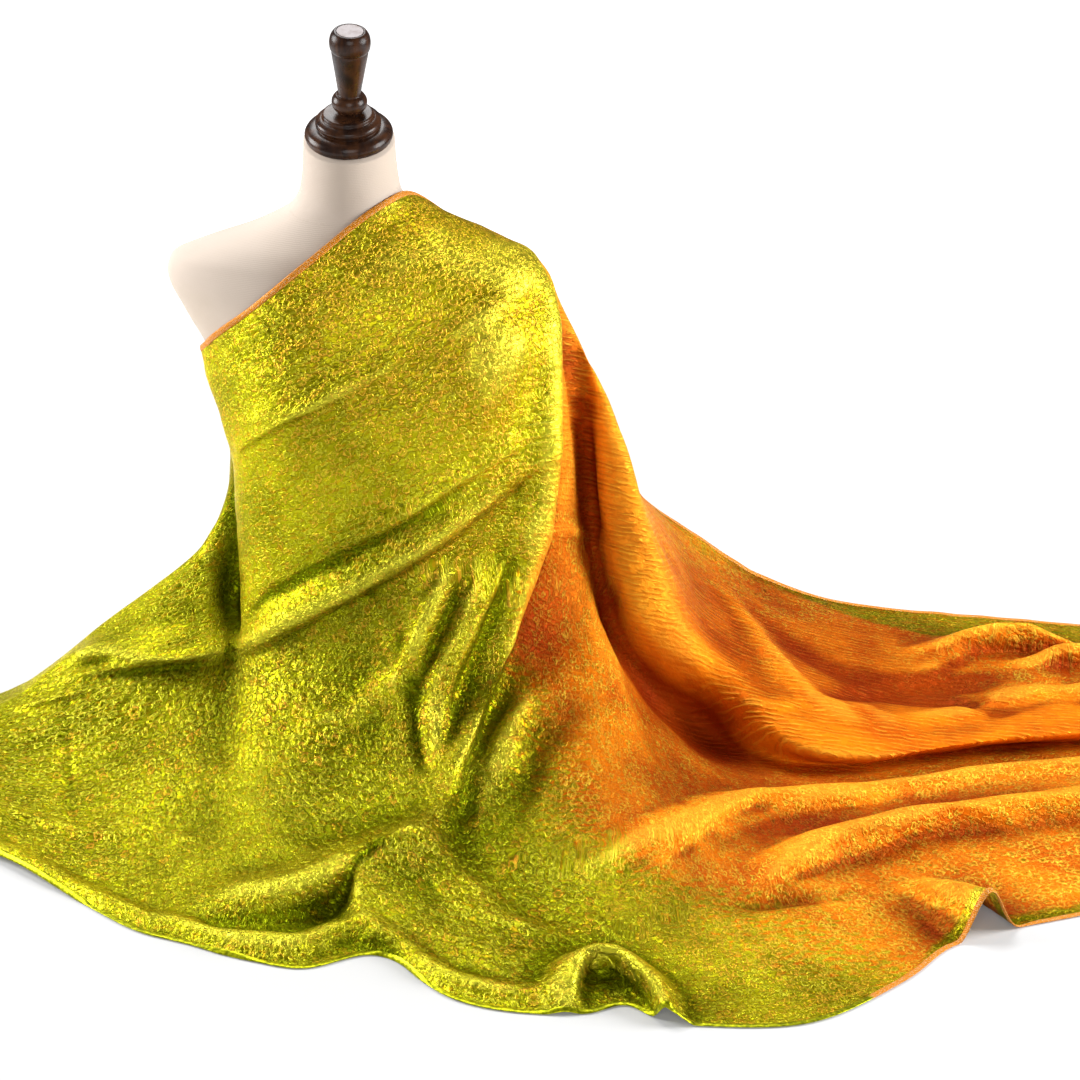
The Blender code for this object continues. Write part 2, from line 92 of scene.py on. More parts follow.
# The turned neck cap and knob, radius and height above the top of the neck
CAP_PROFILE = (
    (0.0000, 0.0310), (0.0240, 0.0310), (0.0262, 0.0296), (0.0258, 0.0262), (0.0285, 0.0256), (0.0325, 0.0236),
    (0.0338, 0.0204), (0.0326, 0.0172), (0.0322, 0.0160), (0.0360, 0.0156), (0.0420, 0.0134), (0.0449, 0.0088),
    (0.0450, 0.0050), (0.0432, 0.0008), (0.0412, 0.0002), (0.0000, 0.0002),
)
KNOB_PROFILE = (
    (0.0000, 0.1220), (0.0136, 0.1220), (0.0142, 0.1229), (0.0166, 0.1222), (0.0196, 0.1178), (0.0209, 0.1115),
    (0.0202, 0.1040), (0.0184, 0.1018), (0.0186, 0.0990), (0.0150, 0.0770), (0.0117, 0.0555), (0.0114, 0.0522),
    (0.0148, 0.0512), (0.0180, 0.0462), (0.0180, 0.0400), (0.0152, 0.0352), (0.0104, 0.0326), (0.0112, 0.0314),
    (0.0000, 0.0312),
)
DISC_PROFILE = (
    (0.0000, 0.1228), (0.0122, 0.1228), (0.0130, 0.1229), (0.0136, 0.1226), (0.0137, 0.1220), (0.0000, 0.1220),
)
TURNED_SIDES = 144
CORNER_CUTS = 2
CORNER_SHARE = 0.22
MERGE_REACH = 0.01 * MM

# The cloth in sections across its width, from the upper selvedge, over the body or the floor
# folds, to the lower selvedge. Each row is a share along the cloth, then places (x, y, z) in
# millimetres.
CLOTH_SECTIONS = (
    (0.00, (-545, 40, 0), (-548, 22, 12), (-550, 0, 25), (-552, -50, 45),
     (-548, -100, 35), (-540, -150, 20), (-525, -200, 8), (-505, -245, 0)),
    (0.10, (-400, 25, 0), (-399, 5, 22), (-397, -20, 38), (-392, -68, 52),
     (-385, -122, 53), (-372, -190, 32), (-356, -260, 12), (-343, -329, 0)),
    (0.19, (-258, 60, 20), (-259, 42, 62), (-260, 17, 103), (-258, -26, 136),
     (-250, -105, 104), (-247, -185, 46), (-250, -310, 18), (-255, -412, 0)),
    (0.26, (-150, 95, 140), (-157, 72, 162), (-166, 45, 184), (-172, -5, 195),
     (-150, -55, 132), (-178, -145, 72), (-190, -290, 25), (-190, -470, 0)),
    (0.32, (-150, 25, 408), (-143, 20, 370), (-133, 14, 330), (-129, 12, 250),
     (-127, -35, 150), (-135, -125, 80), (-140, -300, 30), (-135, -497, 0)),
    (0.37, (-159, -30, 438), (-145, -52, 396), (-132, -62, 352), (-122, -72, 260),
     (-118, -95, 155), (-105, -170, 88), (-95, -320, 38), (-75, -525, 0)),
    (0.42, (-100, -88, 497), (-92, -106, 448), (-85, -119, 400), (-75, -124, 290),
     (-70, -135, 175), (-60, -200, 90), (-45, -340, 40), (-20, -540, 0)),
    (0.47, (-30, -82, 553), (-20, -113, 485), (-10, -132, 415), (5, -142, 300),
     (10, -155, 190), (15, -215, 92), (20, -350, 38), (45, -512, 0)),
    (0.52, (40, -24, 597), (68, -88, 530), (88, -112, 455), (98, -135, 335),
     (92, -160, 215), (68, -228, 100), (68, -370, 38), (108, -590, 0)),
    (0.55, (66, 14, 592), (108, -61, 549), (148, -97, 485), (155, -112, 365),
     (145, -128, 245), (100, -208, 112), (95, -365, 36), (155, -612, 0)),
    (0.58, (84, 44, 571), (145, 10, 547), (195, -22, 511), (202, -72, 392),
     (190, -98, 280), (138, -168, 132), (130, -350, 34), (203, -619, 0)),
    (0.63, (125, 88, 522), (170, 60, 521), (204, 24, 494), (234, -8, 388),
     (241, -22, 252), (225, -125, 135), (235, -380, 28), (284, -627, 0)),
    (0.69, (178, 112, 440), (203, 88, 455), (220, 50, 444), (262, -14, 366),
     (258, -36, 190), (275, -150, 100), (315, -400, 22), (360, -640, 0)),
    (0.75, (260, 130, 264), (270, 98, 277), (281, 56, 284), (313, -50, 232),
     (289, -72, 112), (312, -168, 58), (385, -400, 18), (444, -630, 0)),
    (0.81, (375, 150, 156), (370, 118, 152), (368, 70, 148), (384, -66, 95),
     (362, -90, 26), (388, -200, 24), (455, -380, 15), (530, -560, 0)),
    (0.88, (520, 195, 60), (515, 140, 62), (510, 70, 62), (505, -158, 40),
     (498, -138, 8), (510, -245, 22), (565, -365, 12), (600, -484, 0)),
    (0.94, (720, 210, 30), (718, 160, 28), (715, 100, 30), (715, -110, 38),
     (712, -92, 8), (720, -200, 22), (732, -320, 12), (740, -430, 0)),
    (1.00, (950, 200, 10), (954, 150, 15), (958, 90, 22), (962, -90, 38),
     (962, -74, 8), (962, -175, 14), (956, -250, 6), (945, -340, 0)),
)
# Where each place of a row lies across the width, from 0 at the upper selvedge to 1 at the lower one
ACROSS = (0.0, 0.07, 0.14, 0.28, 0.42, 0.57, 0.78, 1.0)
BASE_ALONG = 170
BASE_ACROSS = 96
GRID_ALONG = 404
GRID_ACROSS = 244
BASE_SMOOTHING = 5
SMOOTHING_SHARE = 0.5
CLOTH_THICKNESS = 0.002
CLOTH_CLEARANCE = 0.0010
EDGE_CLEARANCE = 0.0024
ARM_EDGE_START = 0.140
ARM_EDGE_BLEND = 0.030
NEAR_FORM = 0.030
SHEET_SINK = 1.1 * MM
SHEET_CLEARANCE = 1.2 * MM
SHEET_LIFT = 0.9 * MM
FOLD_PIECES = 24
FOLD_SMOOTHING = 4

# Folds laid over those sections. The path is shares along and across the cloth with the fold's
# strength there. The crest stands up by height and leans to the right of its path by overlap, and
# a trough has a height below zero. Sizes are in millimetres.
Fold = namedtuple("Fold", "name half_width height overlap path")
FOLDS = (
    Fold("valley beside the pipe", 32, -8, 0,
         ((0.596, 0.130, 0.3), (0.612, 0.200, 0.8), (0.622, 0.280, 1.0), (0.634, 0.360, 1.0),
          (0.659, 0.425, 1.0), (0.705, 0.430, 1.0), (0.750, 0.422, 1.0), (0.790, 0.425, 0.8),
          (0.830, 0.420, 0.2))),
    Fold("round body of the pipe", 42, 14, 0,
         ((0.668, 0.250, 0.0), (0.682, 0.300, 0.5), (0.705, 0.345, 1.0), (0.731, 0.360, 1.0),
          (0.761, 0.355, 1.0), (0.793, 0.330, 0.8), (0.828, 0.280, 0.3))),
    Fold("panel edge over the right hip", 27, 15, 11,
         ((0.548, 0.73, 0.3), (0.560, 0.66, 0.8), (0.570, 0.60, 1.0), (0.583, 0.50, 1.0),
          (0.580, 0.38, 0.9), (0.579, 0.27, 0.8), (0.578, 0.19, 0.6), (0.585, 0.13, 0.0))),
    Fold("tension crease below the arm", 14, 5, 3,
         ((0.385, 0.165, 0.5), (0.447, 0.142, 1.0), (0.489, 0.130, 1.0), (0.550, 0.129, 0.7),
          (0.580, 0.141, 0.0))),
    Fold("doubled pleat across the waist", 26, 13, 13,
         ((0.338, 0.467, 0.2), (0.405, 0.425, 0.9), (0.452, 0.380, 1.0), (0.489, 0.350, 1.0),
          (0.530, 0.330, 0.7), (0.575, 0.330, 0.3))),
    Fold("hollow beside the left hip", 32, -20, 0,
         ((0.310, 0.33, 0.2), (0.298, 0.39, 1.0), (0.301, 0.43, 0.7), (0.315, 0.47, 0.0))),
    Fold("pinch across the left flank", 24, 8, 8,
         ((0.130, 0.33, 0.3), (0.168, 0.34, 1.0), (0.204, 0.385, 1.0), (0.245, 0.42, 0.7),
          (0.290, 0.46, 0.1))),
    Fold("fan fold left of the crease", 24, 9, 0,
         ((0.500, 0.50, 0.2), (0.475, 0.53, 1.0), (0.450, 0.56, 0.8), (0.415, 0.60, 0.1))),
    Fold("crease down the fan", 14, -7, 0,
         ((0.478, 0.39, 0.3), (0.497, 0.46, 1.0), (0.510, 0.52, 1.0), (0.528, 0.60, 0.9),
          (0.542, 0.67, 0.3))),
    Fold("fan fold right of the crease", 20, 10, 0,
         ((0.545, 0.40, 0.1), (0.540, 0.47, 1.0), (0.532, 0.53, 1.0), (0.540, 0.61, 0.7),
          (0.545, 0.70, 0.1))),
    Fold("lip over the front hollow", 42, 24, 14,
         ((0.310, 0.93, 0.1), (0.355, 0.90, 0.5), (0.409, 0.875, 0.9), (0.440, 0.850, 1.0),
          (0.475, 0.810, 1.0), (0.509, 0.772, 0.8), (0.545, 0.740, 0.2))),
    Fold("rounded edge right of the hollow", 45, 22, 16,
         ((0.560, 0.745, 0.2), (0.520, 0.80, 0.8), (0.488, 0.85, 1.0), (0.478, 0.90, 1.0),
          (0.480, 0.95, 0.4))),
    Fold("rolled hem at the front left", 22, 13, 0,
         ((0.300, 0.975, 0.2), (0.350, 0.975, 1.0), (0.406, 0.965, 1.0), (0.445, 0.950, 0.8),
          (0.505, 0.965, 0.9), (0.560, 0.975, 0.7), (0.595, 0.975, 0.1))),
    Fold("trough under the lip", 24, -14, 0,
         ((0.345, 0.955, 0.2), (0.395, 0.930, 1.0), (0.430, 0.908, 1.0), (0.452, 0.885, 0.5))),
    Fold("notch in the front hem", 44, 0, -28,
         ((0.604, 0.99, 0.2), (0.622, 0.99, 1.0), (0.640, 0.99, 0.2))),
    Fold("hood over the notch", 24, 34, 16,
         ((0.588, 0.990, 0.3), (0.598, 0.950, 1.0), (0.618, 0.925, 1.0), (0.638, 0.930, 1.0),
          (0.651, 0.965, 1.0), (0.656, 1.000, 0.6))),
    Fold("first fold below the roll", 32, 20, 8,
         ((0.618, 0.80, 0.1), (0.677, 0.742, 0.7), (0.754, 0.687, 0.9), (0.824, 0.61, 1.0),
          (0.870, 0.56, 1.0), (0.931, 0.53, 0.8), (1.000, 0.53, 0.6))),
    Fold("second fold below the roll", 32, 26, 10,
         ((0.770, 0.78, 0.1), (0.815, 0.742, 0.9), (0.864, 0.690, 1.0), (0.898, 0.655, 1.0),
          (0.946, 0.655, 1.0), (1.000, 0.66, 0.8))),
    Fold("short groove on the right apron", 16, -8, 0,
         ((0.735, 0.82, 0.2), (0.770, 0.817, 1.0), (0.815, 0.825, 0.1))),
    Fold("swept fold on the front apron", 18, 7, 0,
         ((0.545, 0.755, 0.3), (0.556, 0.817, 1.0), (0.576, 0.865, 0.8), (0.600, 0.885, 0.1))),
    Fold("fold beside the panel's foot", 26, 12, 0,
         ((0.580, 0.74, 0.1), (0.592, 0.68, 1.0), (0.603, 0.63, 0.8), (0.640, 0.59, 0.1))),
    Fold("groove beside the panel's foot", 18, -9, 0,
         ((0.598, 0.78, 0.1), (0.608, 0.71, 1.0), (0.618, 0.66, 0.6), (0.655, 0.61, 0.1))),
    Fold("arch in the lower selvedge", 34, 56, 0,
         ((0.872, 0.80, 0.0), (0.880, 0.90, 0.6), (0.888, 1.00, 1.0))),
    Fold("ridge along the roll", 26, 14, 0,
         ((0.890, 0.235, 0.0), (0.921, 0.235, 0.7), (0.945, 0.215, 1.0), (1.000, 0.215, 0.8))),
    Fold("soft ridge down the slope", 24, 8, 0,
         ((0.830, 0.13, 0.1), (0.855, 0.19, 1.0), (0.880, 0.23, 1.0), (0.905, 0.26, 0.1))),
    Fold("hollow in the slope", 28, -12, 0,
         ((0.850, 0.14, 0.1), (0.890, 0.18, 0.8), (0.925, 0.19, 1.0), (0.945, 0.18, 0.1))),
    Fold("turned fold behind the roll", 22, 36, 24,
         ((0.912, 0.150, 0.1), (0.930, 0.110, 1.0), (0.948, 0.090, 1.0), (0.965, 0.110, 0.2))),
    Fold("second turned fold behind the roll", 22, 34, 22,
         ((0.940, 0.180, 0.1), (0.955, 0.150, 1.0), (0.975, 0.145, 1.0), (1.000, 0.150, 0.9))),
)
# Smaller creases that the thick solid leaves out, laid the same way
CREASES = (
    Fold("upper tension crease", 8, 3.5, 3,
         ((0.383, 0.138, 0.4), (0.411, 0.142, 1.0), (0.435, 0.134, 1.0), (0.455, 0.126, 0.9),
          (0.480, 0.109, 0.8), (0.502, 0.093, 0.2))),
    Fold("lower tension crease", 8, 3.5, 3,
         ((0.386, 0.171, 0.4), (0.418, 0.167, 1.0), (0.440, 0.150, 1.0), (0.473, 0.126, 0.9),
          (0.500, 0.117, 0.8), (0.527, 0.113, 0.2))),
    Fold("upper layer of the pleat", 12, 6, 6,
         ((0.463, 0.327, 0.1), (0.488, 0.307, 0.7), (0.512, 0.294, 1.0), (0.527, 0.290, 1.0),
          (0.550, 0.294, 0.9), (0.572, 0.302, 0.4))),
    Fold("lower layer of the pleat", 12, 6, 6,
         ((0.376, 0.434, 0.5), (0.408, 0.409, 1.0), (0.431, 0.385, 1.0), (0.470, 0.348, 1.0),
          (0.502, 0.335, 0.9), (0.530, 0.319, 0.2))),
    Fold("groove between the layers", 9, -3.5, 0,
         ((0.364, 0.430, 0.4), (0.398, 0.393, 1.0), (0.433, 0.368, 1.0), (0.475, 0.330, 1.0),
          (0.520, 0.312, 1.0), (0.552, 0.311, 0.4))),
    Fold("trough at the top of the shoulder", 12, -5, 0,
         ((0.505, 0.020, 0.3), (0.520, 0.024, 1.0), (0.540, 0.028, 1.0), (0.565, 0.036, 0.2))),
    Fold("first ridge of the fan", 16, 8, 3,
         ((0.527, 0.389, 0.2), (0.520, 0.414, 0.9), (0.515, 0.447, 1.0), (0.507, 0.475, 1.0),
          (0.488, 0.545, 0.1))),
    Fold("first trough of the fan", 12, -7, 0,
         ((0.537, 0.414, 0.2), (0.530, 0.442, 1.0), (0.525, 0.471, 1.0), (0.520, 0.500, 0.8),
          (0.520, 0.540, 0.2))),
    Fold("second ridge of the fan", 16, 8, 0,
         ((0.562, 0.442, 0.2), (0.560, 0.467, 1.0), (0.552, 0.492, 1.0), (0.547, 0.540, 0.9),
          (0.545, 0.615, 0.2))),
    Fold("second trough of the fan", 12, -7, 0,
         ((0.569, 0.451, 0.2), (0.567, 0.479, 1.0), (0.565, 0.508, 1.0), (0.558, 0.550, 1.0),
          (0.550, 0.636, 0.3))),
    Fold("third ridge of the fan", 14, 7, 0,
         ((0.574, 0.438, 0.2), (0.577, 0.475, 1.0), (0.577, 0.562, 1.0), (0.569, 0.615, 0.9),
          (0.560, 0.677, 0.3))),
    Fold("edge across the fan", 9, 3, 3,
         ((0.475, 0.352, 0.5), (0.485, 0.405, 1.0), (0.493, 0.447, 1.0), (0.510, 0.521, 0.3))),
    Fold("ridge beside the panel's foot", 14, 6, 0,
         ((0.604, 0.603, 0.3), (0.604, 0.640, 1.0), (0.601, 0.685, 1.0), (0.589, 0.740, 0.3))),
    Fold("trough beside the panel's foot", 13, -8, 0,
         ((0.595, 0.599, 0.3), (0.590, 0.632, 1.0), (0.587, 0.689, 1.0), (0.579, 0.735, 1.0),
          (0.572, 0.784, 0.3))),
    Fold("sharp crest of the first fold", 12, 5, 5,
         ((0.669, 0.788, 0.6), (0.701, 0.747, 1.0), (0.738, 0.714, 0.9), (0.795, 0.656, 0.6),
          (0.830, 0.580, 0.2))),
    Fold("sharp crest of the second fold", 13, 6, 6,
         ((0.770, 0.780, 0.5), (0.808, 0.763, 1.0), (0.847, 0.722, 1.0), (0.877, 0.677, 1.0),
          (0.900, 0.648, 0.6), (0.925, 0.700, 0.4))),
    Fold("outer sweep of the front apron", 11, 4, 3,
         ((0.540, 0.813, 0.3), (0.546, 0.845, 1.0), (0.557, 0.866, 1.0), (0.577, 0.883, 1.0),
          (0.597, 0.891, 0.7), (0.617, 0.883, 0.2))),
    Fold("inner sweep of the front apron", 10, -4, 0,
         ((0.552, 0.800, 0.3), (0.560, 0.837, 1.0), (0.574, 0.862, 1.0), (0.597, 0.870, 0.8),
          (0.617, 0.866, 0.1))),
    Fold("inner edge of the roll", 13, 6, 4,
         ((0.818, 0.319, 0.5), (0.840, 0.270, 1.0), (0.865, 0.228, 1.0), (0.882, 0.220, 1.0),
          (0.895, 0.224, 1.0), (0.904, 0.265, 0.5))),
    Fold("trough above the roll", 12, -8, 0,
         ((0.865, 0.233, 0.3), (0.887, 0.208, 1.0), (0.907, 0.191, 1.0), (0.922, 0.183, 1.0),
          (0.932, 0.208, 0.5))),
    Fold("gap under the turned fold", 9, -9, 0,
         ((0.920, 0.180, 0.4), (0.927, 0.158, 1.0), (0.932, 0.138, 1.0), (0.939, 0.121, 1.0),
          (0.947, 0.121, 1.0), (0.949, 0.163, 0.4))),
    Fold("gap under the second turned fold", 9, -9, 0,
         ((0.942, 0.234, 0.4), (0.949, 0.220, 1.0), (0.952, 0.212, 1.0), (0.959, 0.191, 0.6))),
    Fold("ridge over the right apron", 16, 7, 4,
         ((0.733, 0.735, 0.4), (0.810, 0.665, 1.0), (0.865, 0.591, 1.0), (0.890, 0.570, 0.6))),
    Fold("fold towards the groove", 14, 7, 5,
         ((0.775, 0.788, 0.5), (0.823, 0.763, 1.0), (0.865, 0.722, 1.0), (0.882, 0.689, 1.0),
          (0.895, 0.669, 0.5))),
    Fold("low groove on the right apron", 10, -5, 0,
         ((0.743, 0.813, 0.5), (0.783, 0.817, 1.0), (0.810, 0.837, 1.0), (0.835, 0.825, 0.3))),
    Fold("red hollow in the roll", 24, -20, 0,
         ((0.888, 0.200, 0.2), (0.904, 0.202, 1.0), (0.920, 0.212, 1.0), (0.932, 0.236, 0.5))),
    Fold("turned edge behind the roll", 14, 9, 9,
         ((0.915, 0.170, 0.5), (0.927, 0.146, 1.0), (0.937, 0.117, 1.0), (0.952, 0.110, 0.6))),
    Fold("crest down the slope", 9, 3, 2,
         ((0.888, 0.218, 0.4), (0.900, 0.237, 1.0), (0.914, 0.272, 0.3))),
    Fold("second crest down the slope", 9, 2.5, 2,
         ((0.838, 0.165, 0.3), (0.846, 0.190, 1.0), (0.857, 0.222, 0.4))),
    Fold("pinch across the pipe", 9, 3, 3,
         ((0.590, 0.447, 0.4), (0.617, 0.445, 1.0), (0.644, 0.430, 1.0), (0.706, 0.380, 0.7))),
    Fold("line across the pipe", 6, 1.6, 1,
         ((0.576, 0.261, 0.5), (0.634, 0.286, 1.0), (0.689, 0.261, 0.4))),
    Fold("lower line across the pipe", 6, 1.8, 1,
         ((0.581, 0.298, 0.5), (0.649, 0.319, 1.0), (0.701, 0.286, 0.5))),
    Fold("rolled hem at the left", 22, 11, 0,
         ((0.000, 0.960, 0.8), (0.105, 0.962, 1.0), (0.190, 0.962, 1.0), (0.260, 0.968, 1.0),
          (0.330, 0.972, 0.4))),
    Fold("storage crease down the left panel", 8, -4.5, 0,
         ((0.152, 0.418, 0.3), (0.152, 0.522, 1.0), (0.156, 0.645, 1.0), (0.168, 0.769, 0.4))),
    Fold("long crease across the left panel", 11, 8, 7,
         ((0.150, 0.375, 0.4), (0.190, 0.410, 1.0), (0.212, 0.428, 1.0), (0.244, 0.455, 1.0),
          (0.290, 0.500, 0.3))),
    Fold("short crease across the left panel", 9, 5, 4,
         ((0.120, 0.395, 0.5), (0.137, 0.410, 1.0), (0.163, 0.425, 0.8), (0.195, 0.447, 0.3))),
    Fold("low crease across the left panel", 11, 4, 2,
         ((0.060, 0.700, 0.5), (0.120, 0.740, 1.0), (0.180, 0.770, 1.0), (0.330, 0.820, 0.2))),
    Fold("pinched crease across the left flank", 14, 9, 8,
         ((0.168, 0.346, 0.6), (0.204, 0.407, 1.0), (0.238, 0.441, 1.0), (0.305, 0.489, 0.8))),
)

# Small ripples all over the cloth, as sizes along and across and a depth in millimetres
Rumple = namedtuple("Rumple", "along across depth seed")
RUMPLES = (
    Rumple(120, 70, 2.6, 3),
    Rumple(60, 34, 1.5, 11),
    Rumple(26, 15, 0.70, 29),
)
RUMPLE_CELLS = 128

# Where the cloth turns from green to orange, as shares across and along it, and how softly
TONE_EDGES = (
    (0.000, 0.600, 0.030), (0.100, 0.590, 0.016), (0.200, 0.584, 0.014), (0.400, 0.582, 0.020), (0.500, 0.580, 0.024),
    (0.560, 0.592, 0.040), (0.610, 0.610, 0.055), (0.650, 0.619, 0.070), (0.700, 0.628, 0.082), (0.740, 0.638, 0.100),
    (0.767, 0.660, 0.135), (0.790, 0.706, 0.190), (0.813, 0.745, 0.260), (0.862, 0.768, 0.240), (0.916, 0.785, 0.160),
    (0.961, 0.805, 0.080), (1.000, 0.815, 0.060),
)
# How strongly the second colour, the rings and the crinkles show, after the shares along and
# across the cloth
FIGURES = (
    (0.531, 0.045, 0.90, 0.70, 0.25), (0.579, 0.081, 1.00, 0.70, 0.25), (0.560, 0.166, 0.80, 0.60, 0.25),
    (0.548, 0.227, 0.60, 0.60, 0.25), (0.521, 0.117, 0.65, 0.60, 0.20), (0.456, 0.032, 0.75, 0.60, 0.20),
    (0.427, 0.036, 0.10, 0.70, 0.20), (0.400, 0.080, 0.05, 0.70, 0.20), (0.442, 0.209, 0.35, 0.50, 0.10),
    (0.485, 0.276, 0.35, 0.50, 0.10), (0.453, 0.342, 0.08, 0.60, 0.20), (0.408, 0.232, 0.20, 0.45, 0.10),
    (0.385, 0.250, 0.00, 0.40, 0.10), (0.517, 0.294, 0.40, 0.50, 0.25), (0.534, 0.352, 0.45, 0.60, 0.25),
    (0.507, 0.366, 0.35, 0.60, 0.25), (0.482, 0.404, 0.35, 0.70, 0.25), (0.134, 0.460, 0.00, 1.00, 0.20),
    (0.194, 0.547, 0.03, 1.00, 0.20), (0.292, 0.635, 0.05, 1.00, 0.25), (0.191, 0.359, 0.00, 0.80, 0.25),
    (0.060, 0.300, 0.00, 0.80, 0.25), (0.234, 0.343, 0.00, 0.70, 0.25), (0.427, 0.535, 0.15, 0.90, 0.25),
    (0.462, 0.465, 0.25, 0.80, 0.25), (0.371, 0.741, 0.10, 0.80, 0.25), (0.460, 0.711, 0.10, 0.90, 0.25),
    (0.580, 0.806, 0.12, 0.90, 0.25), (0.614, 0.840, 0.15, 0.90, 0.25), (0.663, 0.819, 0.40, 0.75, 0.25),
    (0.605, 0.703, 0.20, 0.80, 0.25), (0.640, 0.620, 0.55, 0.78, 0.25), (0.624, 0.680, 0.45, 0.90, 0.25),
    (0.610, 0.520, 0.40, 0.70, 0.40), (0.650, 0.520, 0.50, 0.72, 0.30), (0.690, 0.580, 0.60, 0.75, 0.20),
    (0.770, 0.570, 0.50, 0.80, 0.20), (0.820, 0.625, 0.50, 0.75, 0.20), (0.720, 0.720, 0.60, 0.80, 0.20),
    (0.600, 0.300, 0.10, 0.15, 1.00), (0.620, 0.200, 0.05, 0.10, 1.00), (0.600, 0.450, 0.45, 0.62, 0.55),
    (0.640, 0.470, 0.50, 0.72, 0.30), (0.660, 0.350, 0.15, 0.30, 1.00), (0.740, 0.330, 0.06, 0.15, 0.90),
    (0.740, 0.430, 0.30, 0.40, 0.20), (0.780, 0.390, 0.05, 0.15, 0.20), (0.810, 0.370, 0.02, 0.10, 0.25),
    (0.760, 0.090, 0.65, 0.86, 0.40), (0.805, 0.110, 0.65, 0.84, 0.40), (0.850, 0.070, 0.65, 0.86, 0.35),
    (0.945, 0.105, 0.60, 0.84, 0.30), (0.960, 0.180, 0.60, 0.80, 0.30), (0.830, 0.180, 0.20, 0.40, 0.90),
    (0.841, 0.263, 0.02, 0.06, 0.80), (0.890, 0.238, 0.00, 0.04, 0.50), (0.946, 0.261, 0.00, 0.04, 0.50),
    (0.887, 0.134, 0.10, 0.30, 0.60), (0.700, 0.500, 0.45, 0.70, 0.25), (0.891, 0.642, 0.50, 0.75, 0.20),
    (0.924, 0.580, 0.60, 0.80, 0.20), (0.931, 0.818, 0.60, 0.85, 0.25), (0.866, 0.813, 0.60, 0.85, 0.25),
    (0.741, 0.873, 0.50, 0.75, 0.25),
)
FIGURE_NAMES = ("fleck", "rings", "crinkle")
# How much a distance across the cloth counts, and how widely each place reaches
FIGURE_NARROWING = 0.55
FIGURE_BLEND = 0.0004

# The ways along and across the puckers, on the slope at the back and on the pipe
SLOPE_LEAN = ((1.0, -0.15, 0.0), (0.15, 0.85, 0.55))
PIPE_LEAN = ((1.0, 0.6, 0.0), (0.22, 0.30, 1.0))
# The part of the cloth whose puckers cross the pipe, and where a sheen is painted
Pipe = namedtuple("Pipe", "along across reach_along reach_across")
PIPE = Pipe(0.68, 0.28, 0.11, 0.24)
PIPE_FULL = 1.5

# Bands woven along the selvedges, as spans along the cloth with a width in millimetres. They
# widen over a share of the cloth's length and fade over some millimetres
Band = namedtuple("Band", "start end across width tone")
BANDS = (
    Band(0.800, 1.000, 1.0, 24, 0.10),
    Band(0.730, 0.880, 0.0, 24, 0.62),
    Band(0.850, 1.000, 0.0, 76, 0.30),
)
BAND_WIDENING = 0.07
BAND_FADE = 10

# The overlocked edge
TRIM_WIDTH = 6.5 * MM
TRIM_THICKNESS = 1.5 * MM
TRIM_OVERHANG = 0.8 * MM
TRIM_SIDES = 10
TRIM_LIFT = 0.1 * MM
STITCH_PITCH = 1.9
STITCH_SLANT = 0.45
LIME_HEM_END = 0.785
CORNER_REACH = 3

# Rounds of smoothing that find the hollows of creases and of folds, how far each round goes, and
# the depths in millimetres between which a fold takes on its painted shade
DIP_ROUNDS = 36
HOLLOW_ROUNDS = 220
DIP_SHARE = 0.8
HOLLOW_SPAN = (-2.2, 8.0)

# How the draped sheet is laid flat, and what it measures then
FLAT_STRIDE = 4
FLAT_ROUNDS = 500
FLAT_DAMPING = 10

# The stage
CAMERA_TARGET = (0.194, 0.0, 0.21)
FLOOR_DROP = 0.0004
FLOOR_REACH = 9.0
# Each lamp's name, place and size. It aims at the camera's target
LAMPS = (
    ("key", (-2.5, 0.3, 1.4), 1.5),
    ("fill", (2.4, -0.3, 1.1), 1.4),
    ("top", (-0.2, 1.2, 2.4), 1.6),
    ("front", (0.2, -2.8, 1.3), 1.6),
)
SENSOR_WIDTH = 36.0

# Colours and scales that the materials share
WHITE = (1.0, 1.0, 1.0, 1.0)
FLOOR_MOTTLE = (0.9, 0.9, 0.9, 1.0)
GOLD_TINT = (1.0, 0.75, 0.20, 1.0)
MIDDLE = (0.5, 0.5, 0.5)
TO_MM = (1000, 1000, 1000)
FLAT_TO_MM = (1000, 1000, 0)


def hermite(knots, values, at):
    """Smooth interpolation through values at the knots, with slopes from their neighbours."""
    knots = np.asarray(knots, float)
    values = np.asarray(values, float)
    at = np.asarray(at, float)
    steps = np.diff(knots)
    shape = (-1,) + (1,) * (values.ndim - 1)
    slopes = np.diff(values, axis=0) / steps.reshape(shape)
    tangents = np.empty_like(values)
    tangents[0], tangents[-1] = slopes[0], slopes[-1]
    before, after = steps[:-1].reshape(shape), steps[1:].reshape(shape)
    tangents[1:-1] = (slopes[:-1] * after + slopes[1:] * before) / (before + after)
    i = np.clip(np.searchsorted(knots, at, side="right") - 1, 0, len(steps) - 1)
    width = steps[i].reshape(shape)
    t = ((at - knots[i]) / steps[i]).reshape(shape)
    t2, t3 = t * t, t * t * t
    return (
        (2 * t3 - 3 * t2 + 1) * values[i]
        + (t3 - 2 * t2 + t) * width * tangents[i]
        + (3 * t2 - 2 * t3) * values[i + 1]
        + (t3 - t2) * width * tangents[i + 1]
    )


def unit(vectors):
    """The vectors at length 1."""
    return vectors / np.maximum(np.linalg.norm(vectors, axis=-1, keepdims=True), TINY)


def even(count):
    """This many even shares from 0 to 1."""
    return np.linspace(0, 1, count)


def ease(share):
    """A share from 0 to 1 with a soft start and end."""
    return share * share * (3 - 2 * share)


def blend(first, second, share):
    """The first value turned into the second by a share."""
    return first * (1 - share) + second * share


def grid_faces(rows, columns):
    """Quads between the points of a grid whose points run along each row in turn."""
    return [
        (r * columns + c, r * columns + c + 1, (r + 1) * columns + c + 1, (r + 1) * columns + c)
        for r in range(rows - 1)
        for c in range(columns - 1)
    ]


